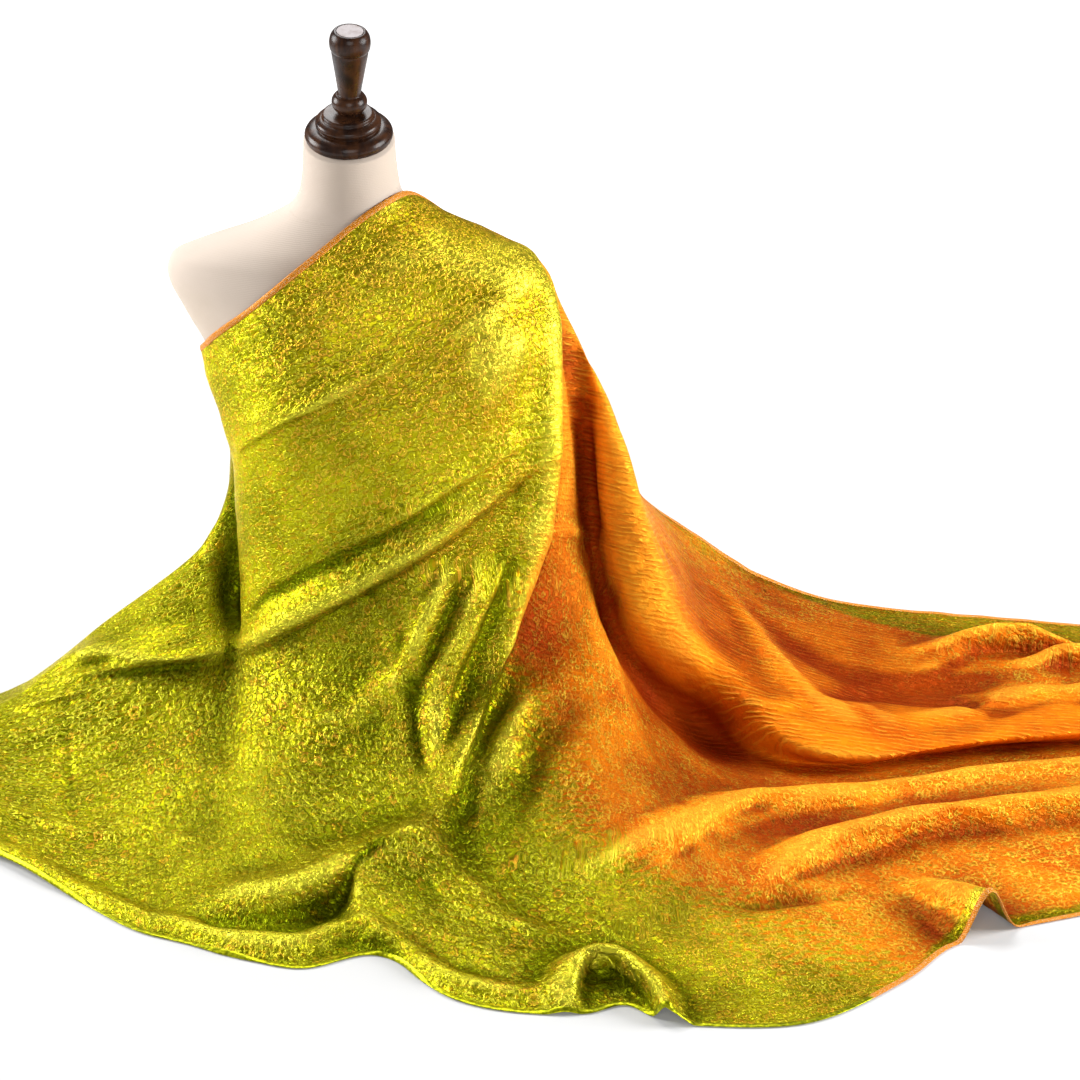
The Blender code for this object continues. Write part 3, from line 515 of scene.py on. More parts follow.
def ring_faces(rings, sides, closed):
    """Quads between rings of points, with a face on each end if the row of rings isn't closed."""
    faces = []
    for r in range(rings if closed else rings - 1):
        low, high = r * sides, (r + 1) % rings * sides
        for s in range(sides):
            t = (s + 1) % sides
            faces.append((low + s, low + t, high + t, high + s))
    if not closed:
        faces.append(tuple(reversed(range(sides))))
        faces.append(tuple(range((rings - 1) * sides, rings * sides)))
    return faces


def smooth_mesh(name, vertices, faces):
    """A smooth shaded mesh from places and faces."""
    mesh = bpy.data.meshes.new(name)
    mesh.from_pydata([tuple(v) for v in vertices], [], faces)
    mesh.validate()
    mesh.shade_smooth()
    return mesh


def new_piece(name, mesh, finish):
    """Links a piece that moves with the part's only body and wears this finish."""
    piece = bpy.data.objects.new(name, mesh)
    bpy.context.scene.collection.objects.link(piece)
    mesh.materials.clear()
    mesh.materials.append(finish)
    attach(piece, "root")
    return piece


def set_uv(mesh, name, places):
    """Gives the mesh a UV map from one place for each of its vertices."""
    layer = mesh.uv_layers.new(name=name)
    corners = np.empty(len(mesh.loops), int)
    mesh.loops.foreach_get("vertex_index", corners)
    layer.uv.foreach_set("vector", np.asarray(places, np.float32)[corners].ravel())


def set_values(mesh, name, values):
    """Stores one number for each vertex under this name."""
    stored = mesh.attributes.new(name, "FLOAT", "POINT")
    stored.data.foreach_set("value", np.asarray(values, np.float32).ravel())


# ---- the dress form ----


def soft_limit(value, limit, rounding):
    """The values, held to the limit on both sides with a rounded corner."""
    size = np.abs(value)
    over = np.clip(0.5 + 0.5 * (size - limit) / rounding, 0, 1)
    held = size + (limit - size) * over - rounding * over * (1 - over)
    return np.copysign(held, value)


def form_places(turns, heights):
    """The places on the form at these turns round it and these heights."""
    turns, heights = np.broadcast_arrays(turns, heights)
    table = np.array(FORM_SECTIONS)
    sizes = hermite(table[:, 0], table[:, 1:], heights.ravel())
    half_width, front, back = (sizes[:, i].reshape(heights.shape) for i in range(3))
    plate = ARM_PLATE
    lean = (plate.tip_x - plate.underarm_x) / (plate.tip_z - plate.underarm_z)
    widest = np.minimum(plate.tip_x, plate.underarm_x + lean * (heights - plate.underarm_z))
    x = half_width * np.cos(turns)
    y = np.where(np.sin(turns) > 0, back, front) * np.sin(turns)
    x = np.where(heights > plate.underarm_z, soft_limit(x, widest, plate.rounding), x)
    turned_x = x * math.cos(FORM_TURN) - y * math.sin(FORM_TURN)
    turned_y = x * math.sin(FORM_TURN) + y * math.cos(FORM_TURN)
    share = np.maximum(0, (heights - NECK_BASE_HEIGHT) / (NECK_TOP_HEIGHT - NECK_BASE_HEIGHT))
    return np.stack((turned_x, turned_y, heights + share * turned_y * math.tan(NECK_TILT)), axis=-1)


def form_mesh():
    """The form's shell, closed at its base and at the top of its neck."""
    heights = np.linspace(0, NECK_TOP_HEIGHT, FORM_RINGS)
    turns = np.linspace(0, math.tau, FORM_SIDES, endpoint=False)
    vertices = form_places(turns[None, :], heights[:, None]).reshape(-1, 3)
    return smooth_mesh("form_body", vertices, ring_faces(FORM_RINGS, FORM_SIDES, False))


def tube(name, path, radius, sides, closed):
    """A thin tube along a path of places."""
    count = len(path)
    vertices = []
    for i, at in enumerate(path):
        ahead = path[(i + 1) % count] if closed or i < count - 1 else path[i]
        behind = path[i - 1] if closed or i > 0 else path[i]
        frame_of = (ahead - behind).to_track_quat("Z", "Y").to_matrix()
        for s in range(sides):
            turn = math.tau * s / sides
            around = Vector((math.cos(turn), math.sin(turn), 0)) * radius
            vertices.append(at + frame_of @ around)
    return smooth_mesh(name, vertices, ring_faces(count, sides, closed))


def seam_path(turns, heights):
    """A seam's path just under the form's surface."""
    places = [Vector(place) for place in form_places(turns, heights)]
    return [at - Vector((at.x, at.y, 0)).normalized() * SEAM_SINK for at in places]


def joined(name, meshes):
    """One mesh made of several."""
    shape = bmesh.new()
    for mesh in meshes:
        shape.from_mesh(mesh)
    result = bpy.data.meshes.new(name)
    shape.to_mesh(result)
    shape.free()
    result.shade_smooth()
    return result


def seams_mesh():
    """The neck seam and the seams down the middle of the front and back."""
    turns = np.linspace(0, math.tau, SEAM_STEPS, endpoint=False)
    around = NECK_SEAM_HEIGHT + NECK_SEAM_DIP * np.sin(turns)
    tubes = [tube("neck seam", seam_path(turns, around), SEAM_RADIUS, SEAM_SIDES, True)]
    for side in (-1, 1):
        top = NECK_SEAM_HEIGHT + side * NECK_SEAM_DIP
        heights = np.linspace(SEAM_START, top, SEAM_STEPS)
        middle = np.full(SEAM_STEPS, side * math.pi / 2)
        tubes.append(tube("seam", seam_path(middle, heights), SEAM_RADIUS, SEAM_SIDES, False))
    return joined("form_seams", tubes)


# ---- the turned wood ----


def rounded_profile(profile):
    """The profile with its corners cut, over and over, but its two ends kept."""
    points = [Vector(p) for p in profile]
    for _ in range(CORNER_CUTS):
        cut = [points[0]]
        for here, there in zip(points[:-1], points[1:]):
            cut += [here.lerp(there, CORNER_SHARE), here.lerp(there, 1 - CORNER_SHARE)]
        points = cut + [points[-1]]
    return points


def turned_mesh(name, profile, lean):
    """A turned shape that stands on the slanting top of the neck."""
    points = rounded_profile(profile)
    mesh = bpy.data.meshes.new(name)
    outline = [(p.x, 0, p.y) for p in points]
    mesh.from_pydata(outline, [(i, i + 1) for i in range(len(points) - 1)], [])
    shape = bmesh.new()
    shape.from_mesh(mesh)
    geometry = list(shape.verts) + list(shape.edges)
    bmesh.ops.spin(shape, geom=geometry, axis=(0, 0, 1), steps=TURNED_SIDES, angle=math.tau, use_merge=True)
    bmesh.ops.remove_doubles(shape, verts=shape.verts, dist=MERGE_REACH)
    bmesh.ops.recalc_face_normals(shape, faces=shape.faces)
    shape.to_mesh(mesh)
    shape.free()
    tilt = Euler((NECK_TILT, lean, 0)).to_matrix().to_4x4()
    mesh.transform(Matrix.Translation((0, 0, NECK_TOP_HEIGHT)) @ tilt)
    mesh.shade_smooth()
    return mesh


# ---- the cloth ----


def cloth_base():
    """The cloth's upper side as a grid of places, before its folds, in metres."""
    along = [section[0] for section in CLOTH_SECTIONS]
    table = np.array([section[1:] for section in CLOTH_SECTIONS], float) * MM
    down = hermite(ACROSS, table.transpose(1, 0, 2), even(BASE_ACROSS))
    return hermite(along, down.transpose(1, 0, 2), even(BASE_ALONG))


def finer(points, along, across):
    """A grid of places at these shares along and across, with as many places as the cloth's grid."""
    points = hermite(along, points, even(GRID_ALONG))
    swapped = hermite(across, points.transpose(1, 0, 2), even(GRID_ACROSS))
    return swapped.transpose(1, 0, 2)


def surface_normals(points):
    """Unit normals of a grid of places, pointing out of the drape."""
    du = np.gradient(points, axis=0)
    dv = np.gradient(points, axis=1)
    return unit(np.cross(dv, du))


def on_cloth(points, along, across):
    """The place on the grid at these shares along and across the cloth."""
    row = along * (points.shape[0] - 1)
    column = across * (points.shape[1] - 1)
    r, c = int(min(row, points.shape[0] - 2)), int(min(column, points.shape[1] - 2))
    a, b = row - r, column - c
    near, far = (blend(points[at, c], points[at, c + 1], b) for at in (r, r + 1))
    return blend(near, far, a)


def fold_path(points, path):
    """A fold's path as places on the cloth, each with the fold's strength there."""
    path = np.asarray(path, float)
    smooth = hermite(even(len(path)), path, even(FOLD_PIECES + 1))
    places = [on_cloth(points, min(max(a, 0), 1), min(max(b, 0), 1)) for a, b, _ in smooth]
    return np.array(places), np.clip(smooth[:, 2], 0, 1)


def lay_fold(points, normal, fold):
    """Raises one fold along its path, leaning over what lies to the right of the path."""
    places, strengths = fold_path(points, fold.path)
    half_width = fold.half_width * MM
    low, high = places.min(axis=0) - half_width, places.max(axis=0) + half_width
    near = np.all((points > low) & (points < high), axis=2)
    at, up = points[near], normal[near]
    best = np.full(len(at), np.inf)
    strength = np.zeros(len(at))
    to_right = np.zeros_like(at)
    for i in range(len(places) - 1):
        start, step = places[i], places[i + 1] - places[i]
        share = np.clip((at - start) @ step / (step @ step), 0, 1)
        distance = np.linalg.norm(at - start - share[:, None] * step, axis=1)
        closer = distance < best
        to_right[closer] = np.cross(step, up[closer])
        strength[closer] = (strengths[i] + share * (strengths[i + 1] - strengths[i]))[closer]
        best[closer] = distance[closer]
    bump = (0.5 + 0.5 * np.cos(np.pi * np.clip(best / half_width, 0, 1))) * strength * MM
    result = points.copy()
    result[near] += (up * fold.height + unit(to_right) * fold.overlap) * bump[:, None]
    return result


def smoothed(points, amount):
    """The grid with each place moved part of the way to the middle of its neighbours."""
    around = points[:-2, 1:-1] + points[2:, 1:-1] + points[1:-1, :-2] + points[1:-1, 2:]
    beside = (points[:-2] + points[2:]) / 2
    result = points.copy()
    result[1:-1, 1:-1] += amount * (around / 4 - points[1:-1, 1:-1])
    for selvedge in (0, -1):
        result[1:-1, selvedge] += amount * (beside[:, selvedge] - points[1:-1, selvedge])
    return result


def lifted(points, tree, clearance):
    """The grid with each place moved out until it lies clear of the form."""
    result = points.reshape(-1, 3).copy()
    for i, at in enumerate(result):
        place, normal, _, _ = tree.find_nearest(at, NEAR_FORM)
        if place is None:
            continue
        edge_share = ease(min(max((abs(place.x) - ARM_EDGE_START) / ARM_EDGE_BLEND, 0.0), 1.0))
        wanted = clearance + edge_share * (EDGE_CLEARANCE - CLOTH_CLEARANCE)
        short = wanted - (Vector(at) - place).dot(normal)
        if short > 0:
            result[i] = at + short * np.array(normal)
    return result.reshape(points.shape)


def hills(flat, size, seed):
    """Smooth hills and hollows from -1 to 1 over the flat cloth, about this far apart."""
    draws = np.random.default_rng(seed).uniform(-1, 1, (RUMPLE_CELLS, RUMPLE_CELLS))
    at = flat / np.array(size)
    cell = np.floor(at).astype(int)
    share = ease(at - cell)
    i, j = cell[..., 0] % RUMPLE_CELLS, cell[..., 1] % RUMPLE_CELLS
    next_i, next_j = (i + 1) % RUMPLE_CELLS, (j + 1) % RUMPLE_CELLS
    near, far = (blend(draws[i, at], draws[next_i, at], share[..., 0]) for at in (j, next_j))
    return blend(near, far, share[..., 1])


def flattened(points):
    """Where each place of the draped grid lies when the cloth is flat, in metres."""
    rows = np.unique(np.append(np.arange(0, GRID_ALONG, FLAT_STRIDE), GRID_ALONG - 1))
    columns = np.unique(np.append(np.arange(0, GRID_ACROSS, FLAT_STRIDE), GRID_ACROSS - 1))
    coarse = points[np.ix_(rows, columns)]
    along = np.linalg.norm(np.diff(coarse, axis=0), axis=2)
    across = np.linalg.norm(np.diff(coarse, axis=1), axis=2)
    u = np.concatenate([[0], np.cumsum(along.mean(axis=1))])
    v = np.concatenate([[0], np.cumsum(across.mean(axis=0))])
    flat = np.stack(np.meshgrid(u, v, indexing="ij"), axis=2)
    spans = (
        (np.s_[:-1, :], np.s_[1:, :]),
        (np.s_[:, :-1], np.s_[:, 1:]),
        (np.s_[:-1, :-1], np.s_[1:, 1:]),
        (np.s_[1:, :-1], np.s_[:-1, 1:]),
    )
    real = [np.linalg.norm(coarse[b] - coarse[a], axis=2, keepdims=True) for a, b in spans]
    for _ in range(FLAT_ROUNDS):
        move = np.zeros_like(flat)
        for (a, b), length in zip(spans, real):
            gap = flat[b] - flat[a]
            size = np.maximum(np.linalg.norm(gap, axis=2, keepdims=True), TINY)
            pull = gap * (1 - length / size) / FLAT_DAMPING
            move[a] += pull
            move[b] -= pull
        flat = flat + move
    return finer(flat, rows / (GRID_ALONG - 1), columns / (GRID_ACROSS - 1))


def draped_cloth(tree):
    """The draped cloth as a grid of places, with where each lies when the cloth is flat."""
    points = cloth_base()
    for _ in range(BASE_SMOOTHING):
        points = smoothed(lifted(points, tree, CLOTH_THICKNESS + CLOTH_CLEARANCE), SMOOTHING_SHARE)
    points = finer(points, even(BASE_ALONG), even(BASE_ACROSS))
    normal = surface_normals(points)
    for fold in FOLDS + CREASES:
        points = lay_fold(points, normal, fold)
    for _ in range(FOLD_SMOOTHING):
        points = smoothed(points, SMOOTHING_SHARE)
    flat = flattened(points)
    normal = surface_normals(points)
    lift = np.zeros(points.shape[:2])
    for rumple in RUMPLES:
        size = (rumple.along * MM, rumple.across * MM)
        lift += hills(flat, size, rumple.seed) * rumple.depth * MM
    points = points + normal * (lift - SHEET_SINK)[..., None]
    points = lifted(points, tree, SHEET_CLEARANCE)
    points[..., 2] = np.maximum(points[..., 2], SHEET_LIFT)
    return points, flat


def shares():
    """The shares along and across the cloth of each place on its grid."""
    return np.meshgrid(even(GRID_ALONG), even(GRID_ACROSS), indexing="ij")


def tone_of(flat):
    """How far each place has turned from green to orange."""
    along, across = shares()
    table = np.array(TONE_EDGES)
    edge, softness = hermite(table[:, 0], table[:, 1:], across.ravel()).T
    step = (along.ravel() - edge) / softness + 0.5
    tone = ease(np.clip(step, 0, 1)).reshape(along.shape)
    for band in BANDS:
        column = round(band.across * (GRID_ACROSS - 1))
        distance = np.linalg.norm(flat - flat[:, column : column + 1], axis=2) / MM
        reach = band.width * np.clip((along - band.start) / BAND_WIDENING, 0, 1)
        share = np.where(along < band.end, np.clip((reach - distance) / BAND_FADE, 0, 1), 0)
        tone = tone + (np.minimum(tone, band.tone) - tone) * share
    return tone


def figure_of():
    """How strongly the flecks, the rings and the crinkles show at each place."""
    along, across = shares()
    total = np.zeros(along.shape)
    sums = np.zeros(along.shape + (3,))
    for at_along, at_across, *strengths in FIGURES:
        squared = (along - at_along) ** 2 + (FIGURE_NARROWING * (across - at_across)) ** 2
        weight = 1 / (squared + FIGURE_BLEND) ** 2
        total += weight
        sums += weight[..., None] * np.array(strengths)
    return sums / total[..., None]


def dips_of(points, rounds):
    """How far each place lies below its surroundings, in millimetres. More rounds take in wider ones."""
    around = points
    for _ in range(rounds):
        around = smoothed(around, DIP_SHARE)
    return ((around - points) * surface_normals(points)).sum(axis=2) / MM


def slant_of():
    """Where the puckers turn to cross the pipe and a sheen is painted on it: 1 there and 0 elsewhere."""
    along, across = shares()
    squared = ((along - PIPE.along) / PIPE.reach_along) ** 2 + ((across - PIPE.across) / PIPE.reach_across) ** 2
    return np.clip(PIPE_FULL - squared, 0, 1)


def edge_mesh(points):
    """The overlocked edge: a flattened tube that wraps the cloth's four edges."""
    last_row, last_column = points.shape[0] - 1, points.shape[1] - 1
    loop = [(r, 0, 0, 1) for r in range(last_row)]
    loop += [(last_row, c, -1, 0) for c in range(last_column)]
    loop += [(r, last_column, 0, -1) for r in range(last_row, 0, -1)]
    loop += [(0, c, 1, 0) for c in range(last_column, 0, -1)]
    normal = surface_normals(points)
    count = len(loop)
    at = np.array([points[r, c] for r, c, _, _ in loop])
    inner = np.array([points[r + a, c + b] for r, c, a, b in loop])
    up = np.array([normal[r, c] for r, c, _, _ in loop])
    ahead = unit(np.roll(at, -CORNER_REACH, axis=0) - np.roll(at, CORNER_REACH, axis=0))
    inwards = inner - at
    for k in range(1, CORNER_REACH + 1):
        inwards = inwards + np.roll(inner - at, k, axis=0) + np.roll(inner - at, -k, axis=0)
    inwards = unit(inwards - ahead * (inwards * ahead).sum(axis=1, keepdims=True))
    up = unit(up - inwards * (up * inwards).sum(axis=1, keepdims=True))
    steps = np.linalg.norm(np.roll(at, -1, axis=0) - at, axis=1)
    lengths = np.concatenate([[0], np.cumsum(steps)])[:-1]
    middle = at + inwards * (TRIM_WIDTH / 2 - TRIM_OVERHANG)
    vertices, places = [], []
    for s in range(TRIM_SIDES):
        turn = math.tau * s / TRIM_SIDES
        ring = middle + inwards * math.cos(turn) * TRIM_WIDTH / 2 + up * math.sin(turn) * TRIM_THICKNESS / 2
        vertices.append(ring)
        places.append(np.stack([lengths, np.full(count, s / TRIM_SIDES * 2 * TRIM_WIDTH)], axis=1))
    vertices = np.stack(vertices, axis=1).reshape(-1, 3)
    places = np.stack(places, axis=1).reshape(-1, 2)
    lime = [c == last_column and r < LIME_HEM_END * last_row for r, c, _, _ in loop]
    vertices[:, 2] = np.maximum(vertices[:, 2], TRIM_LIFT)
    faces = []
    for i in range(count):
        for s in range(TRIM_SIDES):
            t, j = (s + 1) % TRIM_SIDES, (i + 1) % count
            faces.append((i * TRIM_SIDES + s, j * TRIM_SIDES + s, j * TRIM_SIDES + t, i * TRIM_SIDES + t))
    mesh = smooth_mesh("overlocked_edge", vertices, faces)
    set_uv(mesh, "trim", places)
    set_values(mesh, "lime", np.repeat(lime, TRIM_SIDES))
    shape = bmesh.new()
    shape.from_mesh(mesh)
    bmesh.ops.recalc_face_normals(shape, faces=shape.faces)
    shape.to_mesh(mesh)
    shape.free()
    return mesh


# ---- materials ----


def feed(tree, socket, value):
    """Links the socket to a value, or sets it. A colour setting gets its alpha."""
    if isinstance(value, bpy.types.NodeSocket):
        tree.links.new(value, socket)
    else:
        socket.default_value = (*value, 1.0) if isinstance(value, Color) else value


def put(tree, kind, inputs=None, **settings):
    """Adds a node with its settings, and links or sets its inputs."""
    node = tree.nodes.new(kind)
    for name, value in settings.items():
        setattr(node, name, value)
    for name, value in (inputs or {}).items():
        feed(tree, node.inputs[name], value)
    return node


def calc(tree, operation, *values):
    """The result of one sum on numbers or sockets."""
    return put(tree, "ShaderNodeMath", dict(enumerate(values)), operation=operation).outputs[0]


def times(tree, first, *others):
    """The product of numbers or sockets."""
    for other in others:
        first = calc(tree, "MULTIPLY", first, other)
    return first


def plus(tree, first, second):
    """The sum of two numbers or sockets."""
    return calc(tree, "ADD", first, second)


def minus(tree, first, second):
    """The first number or socket less the second."""
    return calc(tree, "SUBTRACT", first, second)


def larger(tree, first, second):
    """The larger of two numbers or sockets."""
    return calc(tree, "MAXIMUM", first, second)


def soft_range(tree, value, low, high, first=0.0, last=1.0):
    """A smooth step from first to last as the value goes from low to high."""
    span = {"Value": value, "From Min": low, "From Max": high, "To Min": first, "To Max": last}
    node = put(tree, "ShaderNodeMapRange", span, interpolation_type="SMOOTHSTEP")
    return node.outputs["Result"]


def blended(tree, share, first, second, way="MIX"):
    """Two colours blended by a share."""
    inputs = {0: share, 6: first, 7: second}
    return put(tree, "ShaderNodeMix", inputs, data_type="RGBA", blend_type=way).outputs[2]


def scaled(tree, vector, by, operation="MULTIPLY"):
    """A vector after one sum with another."""
    return put(tree, "ShaderNodeVectorMath", {0: vector, 1: by}, operation=operation).outputs[0]


def noise(tree, vector, scale, detail=2.0, roughness=0.5, distortion=0.0, output="Fac"):
    """Soft clouds of this scale, as numbers or as colours."""
    inputs = {"Vector": vector, "Scale": scale, "Detail": detail, "Roughness": roughness, "Distortion": distortion}
    return put(tree, "ShaderNodeTexNoise", inputs).outputs[output]


def waves(tree, vector, scale, way, distortion, detail, detail_scale=1.0):
    """Bands across one way, as numbers."""
    inputs = {
        "Vector": vector,
        "Scale": scale,
        "Distortion": distortion,
        "Detail": detail,
        "Detail Scale": detail_scale,
    }
    return put(tree, "ShaderNodeTexWave", inputs, bands_direction=way).outputs["Fac"]


def bumped(tree, height, distance, **inputs):
    """The normal of a surface with this relief."""
    return put(tree, "ShaderNodeBump", {"Distance": distance, "Height": height, **inputs}).outputs["Normal"]


def kept_value(tree, name):
    """The number stored on the mesh under this name."""
    return put(tree, "ShaderNodeAttribute", attribute_name=name).outputs["Fac"]


def flat_place(tree, name):
    """A place on the flat cloth in millimetres, from the UV map of this name."""
    return scaled(tree, put(tree, "ShaderNodeUVMap", uv_map=name).outputs[0], FLAT_TO_MM)


def own_place(tree):
    """A place in the piece's own frame."""
    return put(tree, "ShaderNodeTexCoord").outputs["Object"]


def drift(tree, vector, scale, reach):
    """A small shift on the flat cloth that follows soft clouds, up to half this reach either way."""
    clouds = noise(tree, vector, scale, detail=1.0, output="Color")
    return scaled(tree, scaled(tree, clouds, MIDDLE, "SUBTRACT"), (reach, reach, 0))


def turned(tree, vector, angle):
    """A vector turned round the third axis."""
    inputs = {"Vector": vector, "Angle": angle}
    return put(tree, "ShaderNodeVectorRotate", inputs, rotation_type="Z_AXIS").outputs[0]


def crest_lines(tree, field, middle, half_width):
    """Thin winding lines where a noise passes this value."""
    off = calc(tree, "ABSOLUTE", minus(tree, field, middle))
    return soft_range(tree, off, 0.0, half_width, 1.0, 0.0)


def between(tree, share, first, second):
    """Two numbers blended by a share."""
    return put(tree, "ShaderNodeMix", {0: share, 2: first, 3: second}).outputs[0]


def ring_set(tree, vector, pitch):
    """Thin outlines in rows, the rim round each, the hole and the dome in it and one chance for each."""
    inputs = {"Vector": vector, "Scale": MM / pitch, "Randomness": 0.6}
    cells = put(tree, "ShaderNodeTexVoronoi", inputs, voronoi_dimensions="2D")
    distance = cells.outputs["Distance"]
    draws = put(tree, "ShaderNodeSeparateColor", {0: cells.outputs["Color"]})
    past = minus(tree, distance, plus(tree, 0.28, times(tree, draws.outputs[1], 0.14)))
    ring = crest_lines(tree, past, 0.0, 0.11)
    rim = crest_lines(tree, past, 0.16, 0.10)
    hole = soft_range(tree, distance, 0.05, 0.20, 1.0, 0.0)
    dome = soft_range(tree, distance, 0.0, 0.6, 1.0, 0.0)
    return ring, rim, hole, dome, draws.outputs[0]


def leaning(tree, at, lean):
    """A flat place from a place in space: along the puckers, and across them."""
    parts = [put(tree, "ShaderNodeVectorMath", {0: at, 1: way}, operation="DOT_PRODUCT") for way in lean]
    inputs = {"X": parts[0].outputs["Value"], "Y": parts[1].outputs["Value"]}
    return put(tree, "ShaderNodeCombineXYZ", inputs).outputs[0]


def pucker_lines(tree, vector):
    """Long wavy crests, a few millimetres apart, and the furrows beside them."""
    stretched = scaled(tree, vector, (0.42, 1, 0))
    bands = waves(tree, stretched, 0.052, "Y", distortion=5.0, detail=2.0, detail_scale=1.8)
    gaps = soft_range(tree, noise(tree, scaled(tree, vector, (0.070, 0.13, 0)), 1.0), 0.38, 0.54)
    return [times(tree, soft_range(tree, bands, *span), gaps) for span in ((0.66, 0.97), (0.46, 0.06))]


def new_material(name):
    """A new material with its node tree and its shader."""
    made = bpy.data.materials.new(name)
    made.use_nodes = True
    return made, made.node_tree, made.node_tree.nodes["Principled BSDF"]


def wire(tree, shader, **sockets):
    """Links or sets sockets of the shader, named with underscores for spaces."""
    for name, value in sockets.items():
        feed(tree, shader.inputs[name.replace("_", " ")], value)


def brocade_material(settings):
    """The crinkled shot brocade: green or orange ground, broken rings, crest lines and puckers."""
    made, tree, shader = new_material("shot_brocade")
    mm = flat_place(tree, "flat")
    tone, fleck, rings, crinkle, slant, deep, dip = (
        kept_value(tree, name) for name in ("tone", *FIGURE_NAMES, "slant", "deep", "dip")
    )
    bent = scaled(tree, mm, drift(tree, mm, 0.09, 6), "ADD")
    # Broken rings, larger where they show most
    broken = noise(tree, bent, 0.17, detail=1.0)
    whole = soft_range(tree, broken, 0.32, 0.46)
    large = soft_range(tree, rings, 0.72, 0.92)
    slanted = turned(tree, scaled(tree, bent, drift(tree, mm, 0.26, 7), "ADD"), settings.row_slant)
    sets = [ring_set(tree, slanted, pitch) for pitch in (settings.ring_pitch, settings.large_ring_pitch)]
    ring, rim, hole, dome, chance = (between(tree, large, *pair) for pair in zip(*sets))
    ring, rim = (times(tree, part, whole) for part in (ring, rim))
    # Short crest lines between the rings, and long puckers across the panels
    crest_field = noise(tree, bent, 0.14, detail=1.0, distortion=1.0)
    gaps = soft_range(tree, noise(tree, mm, 0.12, detail=1.0), 0.40, 0.54)
    crest = times(tree, crest_lines(tree, crest_field, 0.5, 0.045), gaps)
    groove = times(tree, crest_lines(tree, crest_field, 0.43, 0.040), gaps)
    at = scaled(tree, own_place(tree), TO_MM)
    places = (bent, leaning(tree, at, SLOPE_LEAN), leaning(tree, at, PIPE_LEAN))
    pucker, furrow = (
        times(tree, between(tree, tone, green, between(tree, slant, slope, pipe)), crinkle)
        for green, slope, pipe in zip(*(pucker_lines(tree, place) for place in places))
    )
    raised = larger(tree, times(tree, larger(tree, ring, crest), rings), pucker)
    sunk = times(tree, larger(tree, larger(tree, rim, groove), hole), rings)
    hollow = larger(tree, sunk, times(tree, furrow, between(tree, tone, 1.0, 0.9)))
    height = minus(tree, raised, times(tree, hollow, 0.5))
    height = plus(tree, height, times(tree, dome, between(tree, large, rings, 3.5)))
    height = plus(tree, height, times(tree, minus(tree, pucker, furrow), tone))
    soft = bumped(tree, noise(tree, mm, 0.050), settings.swell)
    # The ground turns from green to orange. The rings show copper on green and lime on orange
    patch = soft_range(tree, noise(tree, mm, 0.012, detail=3.0), 0.35, 0.65)
    green = blended(tree, patch, settings.lime, settings.olive)
    specks = noise(tree, scaled(tree, bent, (0.10, 0.26, 0)), 1.0)
    stains = larger(tree, times(tree, fleck, 0.35), soft_range(tree, specks, 0.50, 0.66, 0.0, 0.6))
    green = blended(tree, stains, green, settings.amber)
    warm = blended(tree, patch, settings.orange, settings.rust)
    streaks = noise(tree, scaled(tree, bent, (0.08, 0.20, 0)), 1.0, detail=3.0)
    stirred = plus(tree, tone, times(tree, minus(tree, streaks, 0.5), 2.6))
    mixed = times(tree, soft_range(tree, stirred, 0.15, 0.85), soft_range(tree, tone, 0.0, 0.1))
    turn = larger(tree, mixed, soft_range(tree, tone, 0.85, 1.0))
    ground = blended(tree, turn, green, warm)
    # Raised threads, crest lines and pucker crests turn lighter: partly the threads' own paler colour, partly a
    # painted glint
    light = blended(tree, tone, settings.bright_lime, settings.gold)
    counter = blended(tree, tone, settings.copper, settings.bright_lime)
    figured = blended(tree, times(tree, raised, between(tree, tone, 0.75, 0.8)), ground, light)
    shown = soft_range(tree, plus(tree, fleck, minus(tree, chance, 0.5)), 0.30, 0.60)
    second = times(tree, larger(tree, ring, times(tree, crest, 0.6)), rings, shown)
    figured = blended(tree, second, figured, counter)
    figured = blended(tree, times(tree, hole, shown, rings, tone), figured, settings.olive)
    # Painted shade in the rims round the rings, the grooves beside the crest lines and the furrows of the puckers.
    # The holes in the rings are the weave's own darker dots
    depth = times(tree, hollow, between(tree, tone, 0.70, 0.46))
    hole_and_shade_colour = blended(tree, tone, settings.hollow, settings.painted_shade_red)
    shaded = blended(tree, depth, figured, hole_and_shade_colour, "MULTIPLY")
    # Painted shade in the hollows of the folds and creases, and a painted highlight on their crests
    crest_highlight = soft_range(tree, dip, -1.2, -4.2)
    shaded = blended(tree, times(tree, crest_highlight, 0.35), shaded, light)
    dip_shade = times(tree, soft_range(tree, dip, 0.3, 3.5), between(tree, tone, 1.0, 0.85))
    deep = larger(tree, times(tree, deep, between(tree, crest_highlight, 1.0, 0.4)), dip_shade)
    # A painted sheen: the pipe turns gold wherever it has no painted shade
    painted_sheen = times(tree, slant, between(tree, deep, 0.32, 0.0), tone)
    shaded = blended(tree, painted_sheen, shaded, settings.gold)
    painted_shade_tint = blended(tree, tone, settings.painted_shade_green, settings.painted_shade_red)
    wire(
        tree,
        shader,
        Base_Color=blended(tree, deep, shaded, painted_shade_tint, "MULTIPLY"),
        Roughness=plus(tree, soft_range(tree, broken, 0.3, 0.7, 0.27, 0.40), times(tree, tone, 0.20)),
        Metallic=between(tree, tone, 0.76, 0.38),
        Specular_IOR_Level=0.12,
        Specular_Tint=GOLD_TINT,
        Normal=bumped(tree, height, settings.relief, Normal=soft),
    )
    return made


